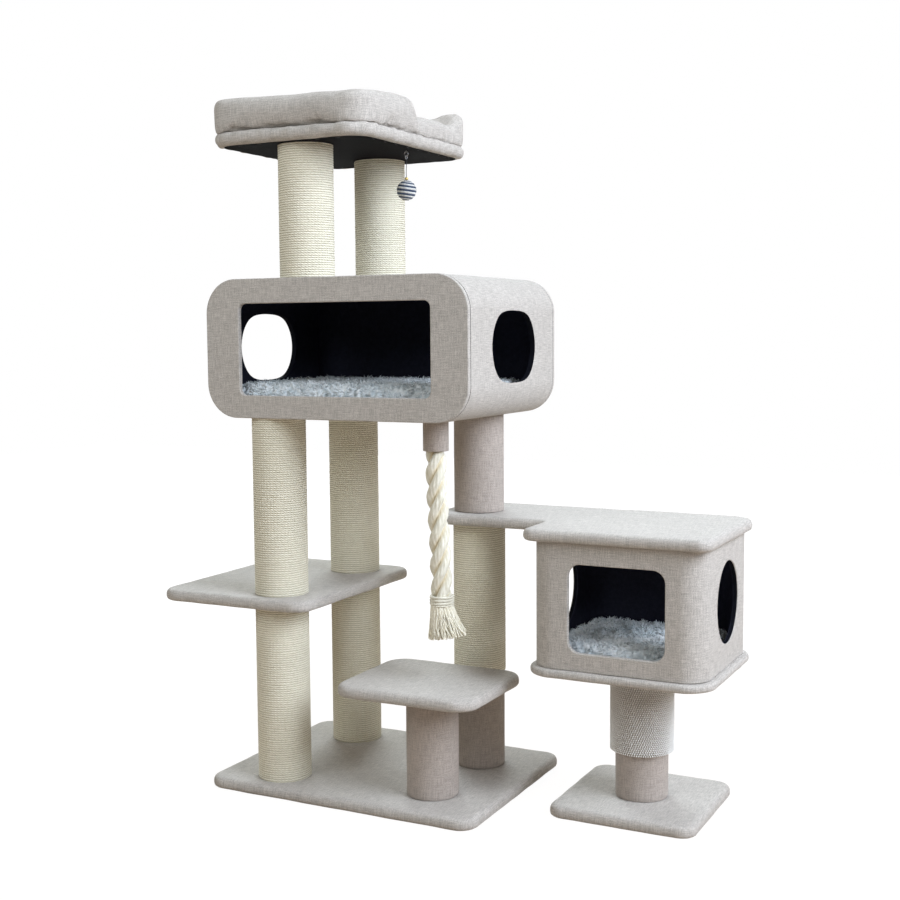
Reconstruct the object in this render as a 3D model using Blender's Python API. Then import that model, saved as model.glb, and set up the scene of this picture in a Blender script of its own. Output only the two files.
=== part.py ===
"""A tall cat tree: a main tower with a shelf, a step, a bent box condo and a padded perch, and a side cabin
on its own base, joined to the tower by an L-shaped bridge board.

Metres, +Z up. The origin is the middle of the main base board's underside. -Y is the front, where both
windows are, and +X points from the tower towards the side cabin. Posts are card tubes with plugged ends,
wound with sisal or covered with fabric. Bolts and studs hold them to the boards.
"""

import math

import bmesh
import bpy
from mathutils import Vector

# ---- Clearances --------------------------------------------------------------------------------------
SEAT_GAP = 0.0003  # between two pieces that rest on, or are wound round, each other
BOLT_CLEARANCE = 0.0005  # between a shank and its hole, all round
HEAD_CLEARANCE = 0.0015  # between a bolt head and its counterbore, all round
CUSHION_CLEARANCE = 0.0015  # between a loose cushion and the walls round it
CUT_PAST = 0.002  # how far a cutter runs past the face that it cuts

# ---- Boards ------------------------------------------------------------------------------------------
BOARD_THICKNESS = 0.025
BOARD_TOP_ROUND = 0.008  # the padded upper edge
BOARD_UNDER_ROUND = 0.004
BASE_WIDTH = 0.664
BASE_DEPTH = 0.504
BASE_CORNER = 0.040
CABIN_BASE_SIDE = 0.320
CABIN_BASE_CORNER = 0.035

# ---- Posts -------------------------------------------------------------------------------------------
SISAL_RADIUS = 0.060
SISAL_THICKNESS = 0.0055
FABRIC_POST_RADIUS = 0.057
COLUMN_COVER_THICKNESS = 0.0025  # the cloth on the long column's foot, over the same tube as its sisal
CARD_WALL = 0.004
PLUG_DEPTH = 0.030
LEFT_POST_LENGTH = 0.3944
STEP_POST_LENGTH = 0.2224
TOP_POST_LENGTH = 0.2854
CABIN_POST_LENGTH = 0.2814

# ---- Bolts and studs ---------------------------------------------------------------------------------
SHANK_RADIUS = 0.004
SHANK_REACH = 0.032  # how far a shank stands into a post or a board
STUD_BLIND_DEPTH = 0.016
HEAD_RADIUS = 0.009
HEAD_HEIGHT = 0.005
HEAD_SINK = 0.0005  # how far a head lies below the face that it is let into

# ---- Condo -------------------------------------------------------------------------------------------
CONDO_WIDTH = 0.646
CONDO_DEPTH = 0.452
CONDO_HEIGHT = 0.304
CONDO_CORNER = 0.076
CONDO_WALL = 0.012
CONDO_WINDOW_WIDTH = 0.473
CONDO_WINDOW_HEIGHT = 0.200
CONDO_WINDOW_SILL = 0.050  # from the underside of the condo to the bottom of its window
CONDO_WINDOW_CORNER = 0.015
CONDO_HOLE_RADIUS = 0.108
CONDO_HOLE_HEIGHT = 0.153
CONDO_HOLE_CENTRE = 0.153  # from the underside of the condo
CONDO_CUSHION_THICKNESS = 0.064
CONDO_CUSHION_BEND = 0.048  # its lower edges, which lie in the bends of the floor
CONDO_CUSHION_CROWN = 0.013  # its upper edges, left and right
CONDO_CUSHION_ROUND = 0.011  # its rims, front and back
POST_TO_BEND = 0.007  # from a post's side to where the condo's floor starts to bend up
POST_TO_PANEL = 0.006  # from a left post's side to the plane of the condo's front or back

# ---- Left shelf, step and bridge ---------------------------------------------------------------------
SHELF_WIDTH = 0.391
SHELF_PAST_POST = 0.054  # how far the shelf runs past the left posts, towards the middle
SHELF_CORNER = 0.045
STEP_WIDTH = 0.334
STEP_DEPTH = 0.292
STEP_CORNER = 0.050
STEP_POST_FROM_RIGHT = 0.152
STEP_POST_FROM_FRONT = 0.130
STEP_TO_COLUMN = 0.012  # from the step's back edge to the right column's side
BRIDGE_ARM_DEPTH = 0.248
BRIDGE_ARM_PAST_COLUMN = 0.083  # from the column's axis to the arm's left end
BRIDGE_ARM_FRONT = 0.100  # from the column's axis to the arm's front edge
BRIDGE_ARM_CORNER = 0.045
BRIDGE_INNER_CORNER = 0.018
BRIDGE_BACK_CORNER = 0.060
BRIDGE_OVERHANG = 0.014  # past the cabin's walls, at its sides
BRIDGE_FRONT_CORNER = 0.030
BRIDGE_FRONT_OVERHANG = 0.0185

# ---- Cabin -------------------------------------------------------------------------------------------
CABIN_FROM_MIDDLE = 0.589  # from the tower's middle to the cabin's, along X
CABIN_POST_SHIFT = 0.003  # the cabin's post and base stand this far to the right of its middle
CABIN_BACK_SETBACK = 0.0185  # from the bridge's back edge to the cabin's back wall
CABIN_WIDTH = 0.3765
CABIN_DEPTH = 0.348
CABIN_HEIGHT = 0.2674
CABIN_CORNER = 0.054
CABIN_WALL = 0.012
CABIN_FLOOR_THICKNESS = 0.018
CABIN_FLOOR_OVERHANG = 0.012
CABIN_WINDOW_WIDTH = 0.208
CABIN_WINDOW_HEIGHT = 0.185
CABIN_WINDOW_SILL = 0.038
CABIN_WINDOW_CORNER = 0.026
CABIN_HOLE_WIDTH = 0.160
CABIN_HOLE_HEIGHT = 0.174
CABIN_HOLE_CENTRE = 0.137  # from the bottom of the wall
CABIN_CUSHION_THICKNESS = 0.050
CABIN_CUSHION_ROUND = 0.012
BRUSH_THICKNESS = 0.0117
BRUSH_LENGTH = 0.180
BRUSH_FROM_FLOOR_BOARD = 0.002

# ---- Perch -------------------------------------------------------------------------------------------
TOP_POST_FROM_LEFT_BEND = 0.149  # from where the condo's roof bends down to the top posts' axes
PERCH_WIDTH = 0.400
PERCH_DEPTH = 0.500
PERCH_CORNER = 0.055
PERCH_BOARD_THICKNESS = 0.028
PERCH_BOARD_ROUND = 0.012
BOLSTER_THICKNESS = 0.066
BOLSTER_HEIGHT = 0.072
BOLSTER_ENTRY_HEIGHT = 0.040
BOLSTER_INNER_CORNER = 0.030
ENTRY_MIDDLE = 0.090  # from the perch's middle towards the back
ENTRY_FLAT = 0.100
ENTRY_SLOPE = 0.080
ENTRY_REACH = 0.099  # how far in from the right edge the bolster may dip for the entry
BOLSTER_SECTION = [  # shares across, from the outside in, and up
    (0.10, 0.00), (0.00, 0.16), (0.00, 0.70), (0.14, 0.94), (0.45, 1.00), (0.82, 0.93), (1.00, 0.66),
    (1.00, 0.16), (0.90, 0.00),
]
PERCH_PAD_THICKNESS = 0.022
PERCH_PAD_ROUND = 0.007

# ---- Rope --------------------------------------------------------------------------------------------
ROPE_RADIUS = 0.023
ROPE_HANG = 0.334  # below the collar's mouth
ROPE_DRIFT = 0.0116  # sideways, over its hang
ROPE_STATIONS = 14
ROPE_DOME_STATIONS = 4
ROPE_FROM_MIDDLE = 0.194
COLLAR_RADIUS = 0.0275
COLLAR_LENGTH = 0.066
COLLAR_SOCKET_CLEARANCE = 0.0014
COLLAR_CROWN = 0.0008  # between the rope's domed end and the socket's roof
WHIPPING_LENGTH = 0.020
WHIPPING_THICKNESS = 0.003
WHIPPING_CLEARANCE = 0.0006
WHIPPING_FROM_END = 0.003
TASSEL_LENGTH = 0.080
TASSEL_END_RADIUS = 0.040
TASSEL_LEAN = 0.014

# ---- Toy ---------------------------------------------------------------------------------------------
TOY_FROM_PERCH_EDGE = 0.052
TOY_FROM_PERCH_MIDDLE = 0.0225
EYE_NECK = 0.003
EYE_RADIUS = 0.0048
EYE_WIRE = 0.0011
EYE_SHANK = 0.012
EYE_SHANK_RADIUS = 0.0008
RING_RADIUS = 0.0045
RING_WIRE = 0.0008
TOY_CORD_RADIUS = 0.00075
TOY_CORD_LENGTH = 0.0390
TOY_CORD_STATIONS = 12
BEAD_RADIUS = 0.0040
BEAD_END_RADIUS = 0.0024
BEAD_HEIGHT = 0.0060
BEAD_CHAMFER = 0.0018  # the height of each sloping end
BALL_RADIUS = 0.0224

# ---- Roundness: straight edges used for one turn, and for one rounded corner -------------------------
POST_SIDES = 32
CORE_SIDES = 16
BOLT_SIDES = 10
WIRE_SIDES = 8
CORNER_STEPS = 6
HOLE_SIDES = 28
BOLSTER_STATION = 0.036  # the longest stretch of the bolster between two of its sections

# ---- Levels, from the floor up -----------------------------------------------------------------------
POST_FOOT = BOARD_THICKNESS + SEAT_GAP
SHELF_LEVEL = POST_FOOT + LEFT_POST_LENGTH + SEAT_GAP
UPPER_POST_FOOT = SHELF_LEVEL + BOARD_THICKNESS + SEAT_GAP
CONDO_LEVEL = UPPER_POST_FOOT + LEFT_POST_LENGTH + SEAT_GAP
CONDO_TOP = CONDO_LEVEL + CONDO_HEIGHT
TOP_POST_FOOT = CONDO_TOP + SEAT_GAP
PERCH_LEVEL = TOP_POST_FOOT + TOP_POST_LENGTH + SEAT_GAP
PERCH_SEAT = PERCH_LEVEL + PERCH_BOARD_THICKNESS
STEP_LEVEL = POST_FOOT + STEP_POST_LENGTH + SEAT_GAP
CABIN_FLOOR_LEVEL = POST_FOOT + CABIN_POST_LENGTH + SEAT_GAP
CABIN_WALL_FOOT = CABIN_FLOOR_LEVEL + CABIN_FLOOR_THICKNESS + SEAT_GAP
BRIDGE_LEVEL = CABIN_WALL_FOOT + CABIN_HEIGHT + SEAT_GAP
BRIDGE_TOP = BRIDGE_LEVEL + BOARD_THICKNESS
COLLAR_MOUTH = CONDO_LEVEL - SEAT_GAP - COLLAR_LENGTH
ROPE_END = COLLAR_MOUTH - ROPE_HANG

# ---- Places, as seen from above ----------------------------------------------------------------------
CONDO_BEND = CONDO_WIDTH / 2 - CONDO_CORNER  # where the condo's floor and roof start to bend
LEFT_POSTS_X = -(CONDO_BEND - SISAL_RADIUS - POST_TO_BEND)
LEFT_POSTS_Y = CONDO_DEPTH / 2 - SISAL_RADIUS - POST_TO_PANEL
COLUMN_X = CONDO_BEND - FABRIC_POST_RADIUS - POST_TO_BEND
STEP_RIGHT = BASE_WIDTH / 2
STEP_FRONT = -BASE_DEPTH / 2
COLUMN_Y = STEP_FRONT + STEP_DEPTH + STEP_TO_COLUMN + SISAL_RADIUS
STEP_POST_X = STEP_RIGHT - STEP_POST_FROM_RIGHT
STEP_POST_Y = STEP_FRONT + STEP_POST_FROM_FRONT
SHELF_RIGHT = LEFT_POSTS_X + SISAL_RADIUS + SHELF_PAST_POST
BRIDGE_LEFT = COLUMN_X - BRIDGE_ARM_PAST_COLUMN
BRIDGE_ARM_Y = COLUMN_Y - BRIDGE_ARM_FRONT
BRIDGE_BACK = BRIDGE_ARM_Y + BRIDGE_ARM_DEPTH
CABIN_LEFT = CABIN_FROM_MIDDLE - CABIN_WIDTH / 2
CABIN_RIGHT = CABIN_FROM_MIDDLE + CABIN_WIDTH / 2
CABIN_BACK = BRIDGE_BACK - CABIN_BACK_SETBACK
CABIN_FRONT = CABIN_BACK - CABIN_DEPTH
CABIN_POST_X = CABIN_FROM_MIDDLE + CABIN_POST_SHIFT
CABIN_POST_Y = (CABIN_FRONT + CABIN_BACK) / 2
TOP_POSTS_X = -CONDO_BEND + TOP_POST_FROM_LEFT_BEND
PERCH_LEFT = TOP_POSTS_X - PERCH_WIDTH / 2
PERCH_RIGHT = TOP_POSTS_X + PERCH_WIDTH / 2
TOY_X = PERCH_RIGHT - TOY_FROM_PERCH_EDGE
TOY_Y = TOY_FROM_PERCH_MIDDLE

# ---- Finishes: colour, roughness, metallic -----------------------------------------------------------
LINEN = ((0.62, 0.58, 0.54), 0.90, 0.0)
POST_LINEN = ((0.56, 0.50, 0.47), 0.90, 0.0)
SISAL = ((0.83, 0.79, 0.66), 0.85, 0.0)
CARD = ((0.45, 0.33, 0.22), 0.90, 0.0)
FUR = ((0.78, 0.83, 0.83), 0.95, 0.0)
COTTON = ((0.86, 0.82, 0.71), 0.90, 0.0)
BRUSH = ((0.88, 0.88, 0.87), 0.55, 0.0)
STEEL = ((0.62, 0.62, 0.63), 0.35, 1.0)
BRASS = ((0.80, 0.62, 0.25), 0.30, 1.0)
DARK_CORD = ((0.05, 0.05, 0.06), 0.80, 0.0)
YARN = ((0.42, 0.48, 0.58), 0.90, 0.0)


# ---- Modelling helpers -------------------------------------------------------------------------------
def clear_scene():
    for obj in list(bpy.data.objects):
        bpy.data.objects.remove(obj, do_unlink=True)


def dressed(obj, finish):
    """Gives the object a material of its own, and returns the object."""
    colour, roughness, metallic = finish
    made = bpy.data.materials.new(obj.name + "_finish")
    made.use_nodes = True
    shader = made.node_tree.nodes["Principled BSDF"]
    shader.inputs["Base Color"].default_value = (*colour, 1.0)
    shader.inputs["Roughness"].default_value = roughness
    shader.inputs["Metallic"].default_value = metallic
    obj.data.materials.append(made)
    return obj


def placed(name, bm, location=(0, 0, 0)):
    """Turns the bmesh into an object at the location, with its faces pointing out."""
    bmesh.ops.recalc_face_normals(bm, faces=bm.faces)
    mesh = bpy.data.meshes.new(name)
    bm.to_mesh(mesh)
    bm.free()
    mesh.shade_smooth()
    mesh.set_sharp_from_angle(angle=math.radians(35))
    obj = bpy.data.objects.new(name, mesh)
    obj.location = location
    bpy.context.scene.collection.objects.link(obj)
    return obj


def rounded(corners, steps=CORNER_STEPS):
    """The outline through (x, y, radius) corners, each rounded by an arc of its radius."""
    outline = []
    for index, (x, y, radius) in enumerate(corners):
        here = Vector((x, y))
        back = (Vector(corners[index - 1][:2]) - here).normalized()
        ahead = (Vector(corners[(index + 1) % len(corners)][:2]) - here).normalized()
        half = back.angle(ahead) / 2
        centre = here + (back + ahead).normalized() * (radius / math.sin(half))
        first = here + back * (radius / math.tan(half)) - centre
        turn = first.angle_signed(here + ahead * (radius / math.tan(half)) - centre)
        for step in range(steps + 1):
            angle = math.atan2(first.y, first.x) - turn * step / steps
            outline.append((centre.x + radius * math.cos(angle), centre.y + radius * math.sin(angle)))
    return outline


def rectangle(left, right, low, high, radius, steps=CORNER_STEPS):
    """The outline of a rectangle with four equal rounded corners."""
    ring = [(left, low, radius), (right, low, radius), (right, high, radius), (left, high, radius)]
    return rounded(ring, steps)


def flat(point, depth, along):
    """A point of an outline in space, at a depth along the axis that the outline faces."""
    first, second = point
    return {"X": (depth, first, second), "Y": (first, depth, second), "Z": (first, second, depth)}[along]


def slab(name, outline, start, end, along="Z", start_round=0.0, end_round=0.0, round_steps=2):
    """An outline given a thickness from start to end, with its two rims rounded."""
    bm = bmesh.new()
    face = bm.faces.new([bm.verts.new(flat(point, start, along)) for point in outline])
    made = bmesh.ops.extrude_face_region(bm, geom=[face], use_keep_orig=True)
    raised = [item for item in made["geom"] if isinstance(item, bmesh.types.BMVert)]
    bmesh.ops.translate(bm, verts=raised, vec=Vector(flat((0, 0), end - start, along)))
    lid = next(item for item in made["geom"] if isinstance(item, bmesh.types.BMFace))
    for rim, width in ((list(face.edges), start_round), (list(lid.edges), end_round)):
        if width > 0:
            bmesh.ops.bevel(
                bm, geom=rim, offset=width, segments=round_steps, affect="EDGES", profile=0.5
            )
    return placed(name, bm)


def frame(name, outer, inner, start, end, along="Z"):
    """A band between an outer and an inner outline with as many points, from start to end."""
    bm = bmesh.new()
    loops = []
    for outline, depth in ((outer, start), (outer, end), (inner, end), (inner, start)):
        loops.append([bm.verts.new(flat(point, depth, along)) for point in outline])
    for first, second in zip(loops, loops[1:] + loops[:1]):
        for index in range(len(first)):
            nearby = (index + 1) % len(first)
            bm.faces.new((first[index], first[nearby], second[nearby], second[index]))
    return placed(name, bm)


def turned(name, profile, location, sides, closed=True):
    """A turned piece: (radius, height) pairs spun round a vertical axis. An open profile ends on the axis."""
    bm = bmesh.new()
    points = [bm.verts.new((radius, 0, height)) for radius, height in profile]
    pairs = list(zip(points, points[1:]))
    if closed:
        pairs.append((points[-1], points[0]))
    edges = [bm.edges.new(pair) for pair in pairs]
    bmesh.ops.spin(
        bm, geom=points + edges, axis=(0, 0, 1), cent=(0, 0, 0), angle=2 * math.pi, steps=sides,
        use_merge=True,
    )
    bmesh.ops.remove_doubles(bm, verts=bm.verts, dist=1e-6)
    return placed(name, bm, location)


def combine(obj, tool, operation):
    """Cuts the tool from the object, or joins it on, by a Boolean that stays on the object."""
    tool.hide_render = True
    tool.display_type = "WIRE"
    change = obj.modifiers.new(tool.name, "BOOLEAN")
    change.operation = operation
    change.object = tool


def through_hole(obj, name, outline, start, end, along):
    """A hole of the outline, cut from start to end."""
    combine(obj, slab(name, outline, start, end, along), "DIFFERENCE")


def bolt_hole(obj, place, seat, way, thickness):
    """A bolt's hole and the counterbore for its head. The seat is the level that the head bears on, and way
    is 1 for a bolt that points up and -1 for one that points down."""
    bore = SHANK_RADIUS + BOLT_CLEARANCE
    recess = HEAD_RADIUS + HEAD_CLEARANCE
    depth = SEAT_GAP + HEAD_HEIGHT + HEAD_SINK + CUT_PAST
    profile = [(0, -depth), (recess, -depth), (recess, 0), (bore, 0), (bore, thickness), (0, thickness)]
    pointed = [(radius, way * height) for radius, height in profile]
    cutter = turned(f"{obj.name}_bolt_cut", pointed, (*place, seat), BOLT_SIDES, closed=False)
    combine(obj, cutter, "DIFFERENCE")


def bolt(name, place, seat, way, reach):
    """A round-headed bolt on the seat, with its shank running the given way."""
    head = SEAT_GAP + HEAD_HEIGHT
    edge = HEAD_RADIUS - HEAD_HEIGHT / 3
    profile = [
        (0, -head), (edge, -head), (HEAD_RADIUS, -head + HEAD_HEIGHT / 3), (HEAD_RADIUS, -SEAT_GAP),
        (SHANK_RADIUS, -SEAT_GAP), (SHANK_RADIUS, reach), (0, reach),
    ]
    pointed = [(radius, way * height) for radius, height in profile]
    return dressed(turned(name, pointed, (*place, seat), BOLT_SIDES, closed=False), STEEL)


def stud(name, place, low, high):
    """A double-ended stud, screwed into what is below and what is above."""
    profile = [(0, low), (SHANK_RADIUS, low), (SHANK_RADIUS, high), (0, high)]
    return dressed(turned(name, profile, (*place, 0), BOLT_SIDES, closed=False), STEEL)


def stud_hole(obj, place, low, high):
    """A plain hole for a stud, from low to high."""
    bore = SHANK_RADIUS + BOLT_CLEARANCE
    profile = [(0, low), (bore, low), (bore, high), (0, high)]
    cutter = turned(f"{obj.name}_stud_cut", profile, (*place, 0), BOLT_SIDES, closed=False)
    combine(obj, cutter, "DIFFERENCE")


# ---- Posts -------------------------------------------------------------------------------------------
def tube(name, place, foot, length, radius, sides, finish):
    """A card tube with a plug in each end, bored for a bolt, from its foot up."""
    bore = SHANK_RADIUS + BOLT_CLEARANCE
    inside = radius - CARD_WALL
    profile = [
        (bore, 0), (radius, 0), (radius, length), (bore, length),
        (bore, length - PLUG_DEPTH), (inside, length - PLUG_DEPTH), (inside, PLUG_DEPTH), (bore, PLUG_DEPTH),
    ]
    return dressed(turned(name, profile, (*place, foot), sides), finish)


def sleeve(name, place, foot, length, inside, outside, finish):
    """A cover round a tube, with its two ends square."""
    profile = [(inside, 0), (outside, 0), (outside, length), (inside, length)]
    return dressed(turned(name, profile, (*place, foot), POST_SIDES), finish)


def core_radius():
    """The card tube of a sisal post, just inside its winding."""
    return SISAL_RADIUS - SISAL_THICKNESS - SEAT_GAP


def sisal_post(name, place, foot, length):
    tube(name + "_core", place, foot, length, core_radius(), CORE_SIDES, CARD)
    inside = SISAL_RADIUS - SISAL_THICKNESS
    sleeve(name + "_sisal", place, foot, length, inside, SISAL_RADIUS, SISAL)


def right_column():
    """One long tube from the base to the bridge, fabric up to the step's level and sisal above it. A
    shorter fabric post stands on the bridge and carries the condo."""
    place = (COLUMN_X, COLUMN_Y)
    top = BRIDGE_LEVEL - SEAT_GAP
    inside = SISAL_RADIUS - SISAL_THICKNESS
    tube("column_lower_core", place, POST_FOOT, top - POST_FOOT, core_radius(), CORE_SIDES, CARD)
    cover = STEP_LEVEL - SEAT_GAP - POST_FOOT
    outside = inside + COLUMN_COVER_THICKNESS
    sleeve("column_lower_cover", place, POST_FOOT, cover, inside, outside, POST_LINEN)
    sleeve("column_middle_sisal", place, STEP_LEVEL, top - STEP_LEVEL, inside, SISAL_RADIUS, SISAL)
    foot = BRIDGE_TOP + SEAT_GAP
    length = CONDO_LEVEL - SEAT_GAP - foot
    tube("column_upper_post", place, foot, length, FABRIC_POST_RADIUS, POST_SIDES, POST_LINEN)


# ---- Boards ------------------------------------------------------------------------------------------
def board(name, outline, level, thickness=BOARD_THICKNESS):
    made = slab(
        name, outline, level, level + thickness, start_round=BOARD_UNDER_ROUND, end_round=BOARD_TOP_ROUND
    )
    return dressed(made, LINEN)


def main_base():
    half_width = BASE_WIDTH / 2
    half_depth = BASE_DEPTH / 2
    outline = rectangle(-half_width, half_width, -half_depth, half_depth, BASE_CORNER)
    base = board("main_base_board", outline, 0)
    posts = {
        "front_left": (LEFT_POSTS_X, -LEFT_POSTS_Y),
        "back_left": (LEFT_POSTS_X, LEFT_POSTS_Y),
        "column": (COLUMN_X, COLUMN_Y),
        "step": (STEP_POST_X, STEP_POST_Y),
    }
    for name, place in posts.items():
        seat_and_bolt(base, name + "_base_bolt", place, 0, BOARD_THICKNESS, 1)


def seat_and_bolt(obj, name, place, face, thickness, way):
    """A counterbored hole with its bolt, let into the face of a board and pointing away from it."""
    seat = face + way * (HEAD_SINK + HEAD_HEIGHT + SEAT_GAP)
    bolt_hole(obj, place, seat, way, thickness)
    bolt(name, place, seat, way, thickness + SHANK_REACH)


def left_shelf():
    """The shelf held between the lower and the upper left posts, and the studs that join them through it."""
    outline = rectangle(
        SHELF_RIGHT - SHELF_WIDTH, SHELF_RIGHT, -BASE_DEPTH / 2, BASE_DEPTH / 2, SHELF_CORNER
    )
    shelf = board("left_shelf_board", outline, SHELF_LEVEL)
    for name, side in (("front", -1), ("back", 1)):
        place = (LEFT_POSTS_X, side * LEFT_POSTS_Y)
        low = SHELF_LEVEL - SHANK_REACH
        high = SHELF_LEVEL + BOARD_THICKNESS + SHANK_REACH
        stud_hole(shelf, place, SHELF_LEVEL - CUT_PAST, SHELF_LEVEL + BOARD_THICKNESS + CUT_PAST)
        stud(f"{name}_shelf_stud", place, low, high)


def left_posts():
    for name, side in (("front", -1), ("back", 1)):
        place = (LEFT_POSTS_X, side * LEFT_POSTS_Y)
        sisal_post(f"{name}_left_lower", place, POST_FOOT, LEFT_POST_LENGTH)
        sisal_post(f"{name}_left_upper", place, UPPER_POST_FOOT, LEFT_POST_LENGTH)


def step():
    """The low step on its own short post. A stud in a blind hole holds it, so its top has no bolt head."""
    place = (STEP_POST_X, STEP_POST_Y)
    tube("step_post", place, POST_FOOT, STEP_POST_LENGTH, FABRIC_POST_RADIUS, POST_SIDES, POST_LINEN)
    outline = rectangle(
        STEP_RIGHT - STEP_WIDTH, STEP_RIGHT, STEP_FRONT, STEP_FRONT + STEP_DEPTH, STEP_CORNER
    )
    made = board("step_board", outline, STEP_LEVEL)
    stud_hole(made, place, STEP_LEVEL - CUT_PAST, STEP_LEVEL + STUD_BLIND_DEPTH + SEAT_GAP)
    stud("step_stud", place, STEP_LEVEL - SHANK_REACH, STEP_LEVEL + STUD_BLIND_DEPTH)


def bridge():
    """The L-shaped board that roofs the cabin and reaches back to the right column."""
    left = CABIN_LEFT - BRIDGE_OVERHANG
    right = CABIN_RIGHT + BRIDGE_OVERHANG
    front = CABIN_FRONT - BRIDGE_FRONT_OVERHANG
    corners = [
        (BRIDGE_LEFT, BRIDGE_ARM_Y, BRIDGE_ARM_CORNER),
        (left, BRIDGE_ARM_Y, BRIDGE_INNER_CORNER),
        (left, front, BRIDGE_FRONT_CORNER),
        (right, front, BRIDGE_FRONT_CORNER),
        (right, BRIDGE_BACK, BRIDGE_BACK_CORNER),
        (BRIDGE_LEFT, BRIDGE_BACK, BRIDGE_ARM_CORNER),
    ]
    made = board("bridge_board", rounded(corners), BRIDGE_LEVEL)
    place = (COLUMN_X, COLUMN_Y)
    stud_hole(made, place, BRIDGE_LEVEL - CUT_PAST, BRIDGE_TOP + CUT_PAST)
    stud("bridge_stud", place, BRIDGE_LEVEL - SHANK_REACH, BRIDGE_TOP + SHANK_REACH)


# ---- Condo -------------------------------------------------------------------------------------------
def condo_outline(inset):
    """The condo's section, a lying rounded rectangle, drawn in by the inset."""
    return rectangle(
        -CONDO_WIDTH / 2 + inset, CONDO_WIDTH / 2 - inset, CONDO_LEVEL + inset, CONDO_TOP - inset,
        CONDO_CORNER - inset,
    )


def side_opening(half_width, half_height, centre, level):
    """A side hole's outline: a circle of half_width, cut flat above and below at half_height."""
    reach = math.asin(half_height / half_width)
    outline = []
    for middle in (0, math.pi):
        for number in range(HOLE_SIDES // 2):
            angle = middle - reach + 2 * reach * number / (HOLE_SIDES // 2 - 1)
            outline.append((centre + half_width * math.cos(angle), level + half_width * math.sin(angle)))
    return outline


def condo():
    """The bent wall with its two panels, held to the posts under it and over it."""
    front = -CONDO_DEPTH / 2
    back = CONDO_DEPTH / 2
    sill = CONDO_LEVEL + CONDO_WINDOW_SILL
    window = rectangle(
        -CONDO_WINDOW_WIDTH / 2, CONDO_WINDOW_WIDTH / 2, sill, sill + CONDO_WINDOW_HEIGHT, CONDO_WINDOW_CORNER
    )
    dressed(frame("condo_front_panel", condo_outline(0), window, front, front + CONDO_WALL, "Y"), LINEN)
    dressed(slab("condo_back_panel", condo_outline(0), back - CONDO_WALL, back, "Y"), LINEN)
    start = front + CONDO_WALL + SEAT_GAP
    wall = frame("condo_wall", condo_outline(0), condo_outline(CONDO_WALL), start, -start, "Y")
    dressed(wall, LINEN)
    hole = side_opening(CONDO_HOLE_RADIUS, CONDO_HOLE_HEIGHT / 2, 0, CONDO_LEVEL + CONDO_HOLE_CENTRE)
    reach = CONDO_WIDTH / 2 + CUT_PAST
    through_hole(wall, "condo_side_cut", hole, -reach, reach, "X")
    floor_posts = {
        "front_left": (LEFT_POSTS_X, -LEFT_POSTS_Y),
        "back_left": (LEFT_POSTS_X, LEFT_POSTS_Y),
        "column": (COLUMN_X, COLUMN_Y),
    }
    for name, place in floor_posts.items():
        seat_and_bolt(wall, name + "_condo_bolt", place, CONDO_LEVEL + CONDO_WALL, CONDO_WALL, -1)
    for name, side in (("front", -1), ("back", 1)):
        place = (TOP_POSTS_X, side * LEFT_POSTS_Y)
        seat_and_bolt(wall, name + "_roof_bolt", place, CONDO_TOP - CONDO_WALL, CONDO_WALL, 1)


def condo_cushion():
    """The loose fur cushion, whose lower edges lie in the bends of the floor."""
    half = CONDO_BEND + CONDO_CUSHION_BEND - CUSHION_CLEARANCE
    floor = CONDO_LEVEL + CONDO_WALL
    low = floor + SEAT_GAP
    high = floor + CONDO_CUSHION_THICKNESS
    corners = [
        (-half, low, CONDO_CUSHION_BEND), (half, low, CONDO_CUSHION_BEND),
        (half, high, CONDO_CUSHION_CROWN), (-half, high, CONDO_CUSHION_CROWN),
    ]
    reach = CONDO_DEPTH / 2 - CONDO_WALL - CUSHION_CLEARANCE
    made = slab(
        "condo_cushion", rounded(corners), -reach, reach, "Y", CONDO_CUSHION_ROUND, CONDO_CUSHION_ROUND
    )
    dressed(made, FUR)


# ---- Cabin -------------------------------------------------------------------------------------------
def cabin_outline(inset):
    """The cabin's plan, drawn in by the inset, or let out by a negative one."""
    return rectangle(
        CABIN_LEFT + inset, CABIN_RIGHT - inset, CABIN_FRONT + inset, CABIN_BACK - inset, CABIN_CORNER - inset
    )


def cabin_stand():
    """The small base, its post and the brush sleeve round the post."""
    half = CABIN_BASE_SIDE / 2
    place = (CABIN_POST_X, CABIN_POST_Y)
    outline = rectangle(
        CABIN_POST_X - half, CABIN_POST_X + half, CABIN_POST_Y - half, CABIN_POST_Y + half, CABIN_BASE_CORNER
    )
    base = board("cabin_base_board", outline, 0)
    seat_and_bolt(base, "cabin_base_bolt", place, 0, BOARD_THICKNESS, 1)
    tube("cabin_post", place, POST_FOOT, CABIN_POST_LENGTH, FABRIC_POST_RADIUS, POST_SIDES, POST_LINEN)
    inside = FABRIC_POST_RADIUS + SEAT_GAP
    outside = inside + BRUSH_THICKNESS
    lip = BRUSH_THICKNESS / 2
    profile = [
        (inside, 0), (inside + lip, 0), (outside, lip), (outside, BRUSH_LENGTH), (inside, BRUSH_LENGTH)
    ]
    foot = CABIN_FLOOR_LEVEL - BRUSH_FROM_FLOOR_BOARD - BRUSH_LENGTH
    dressed(turned("brush_sleeve", profile, (*place, foot), POST_SIDES), BRUSH)


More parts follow.
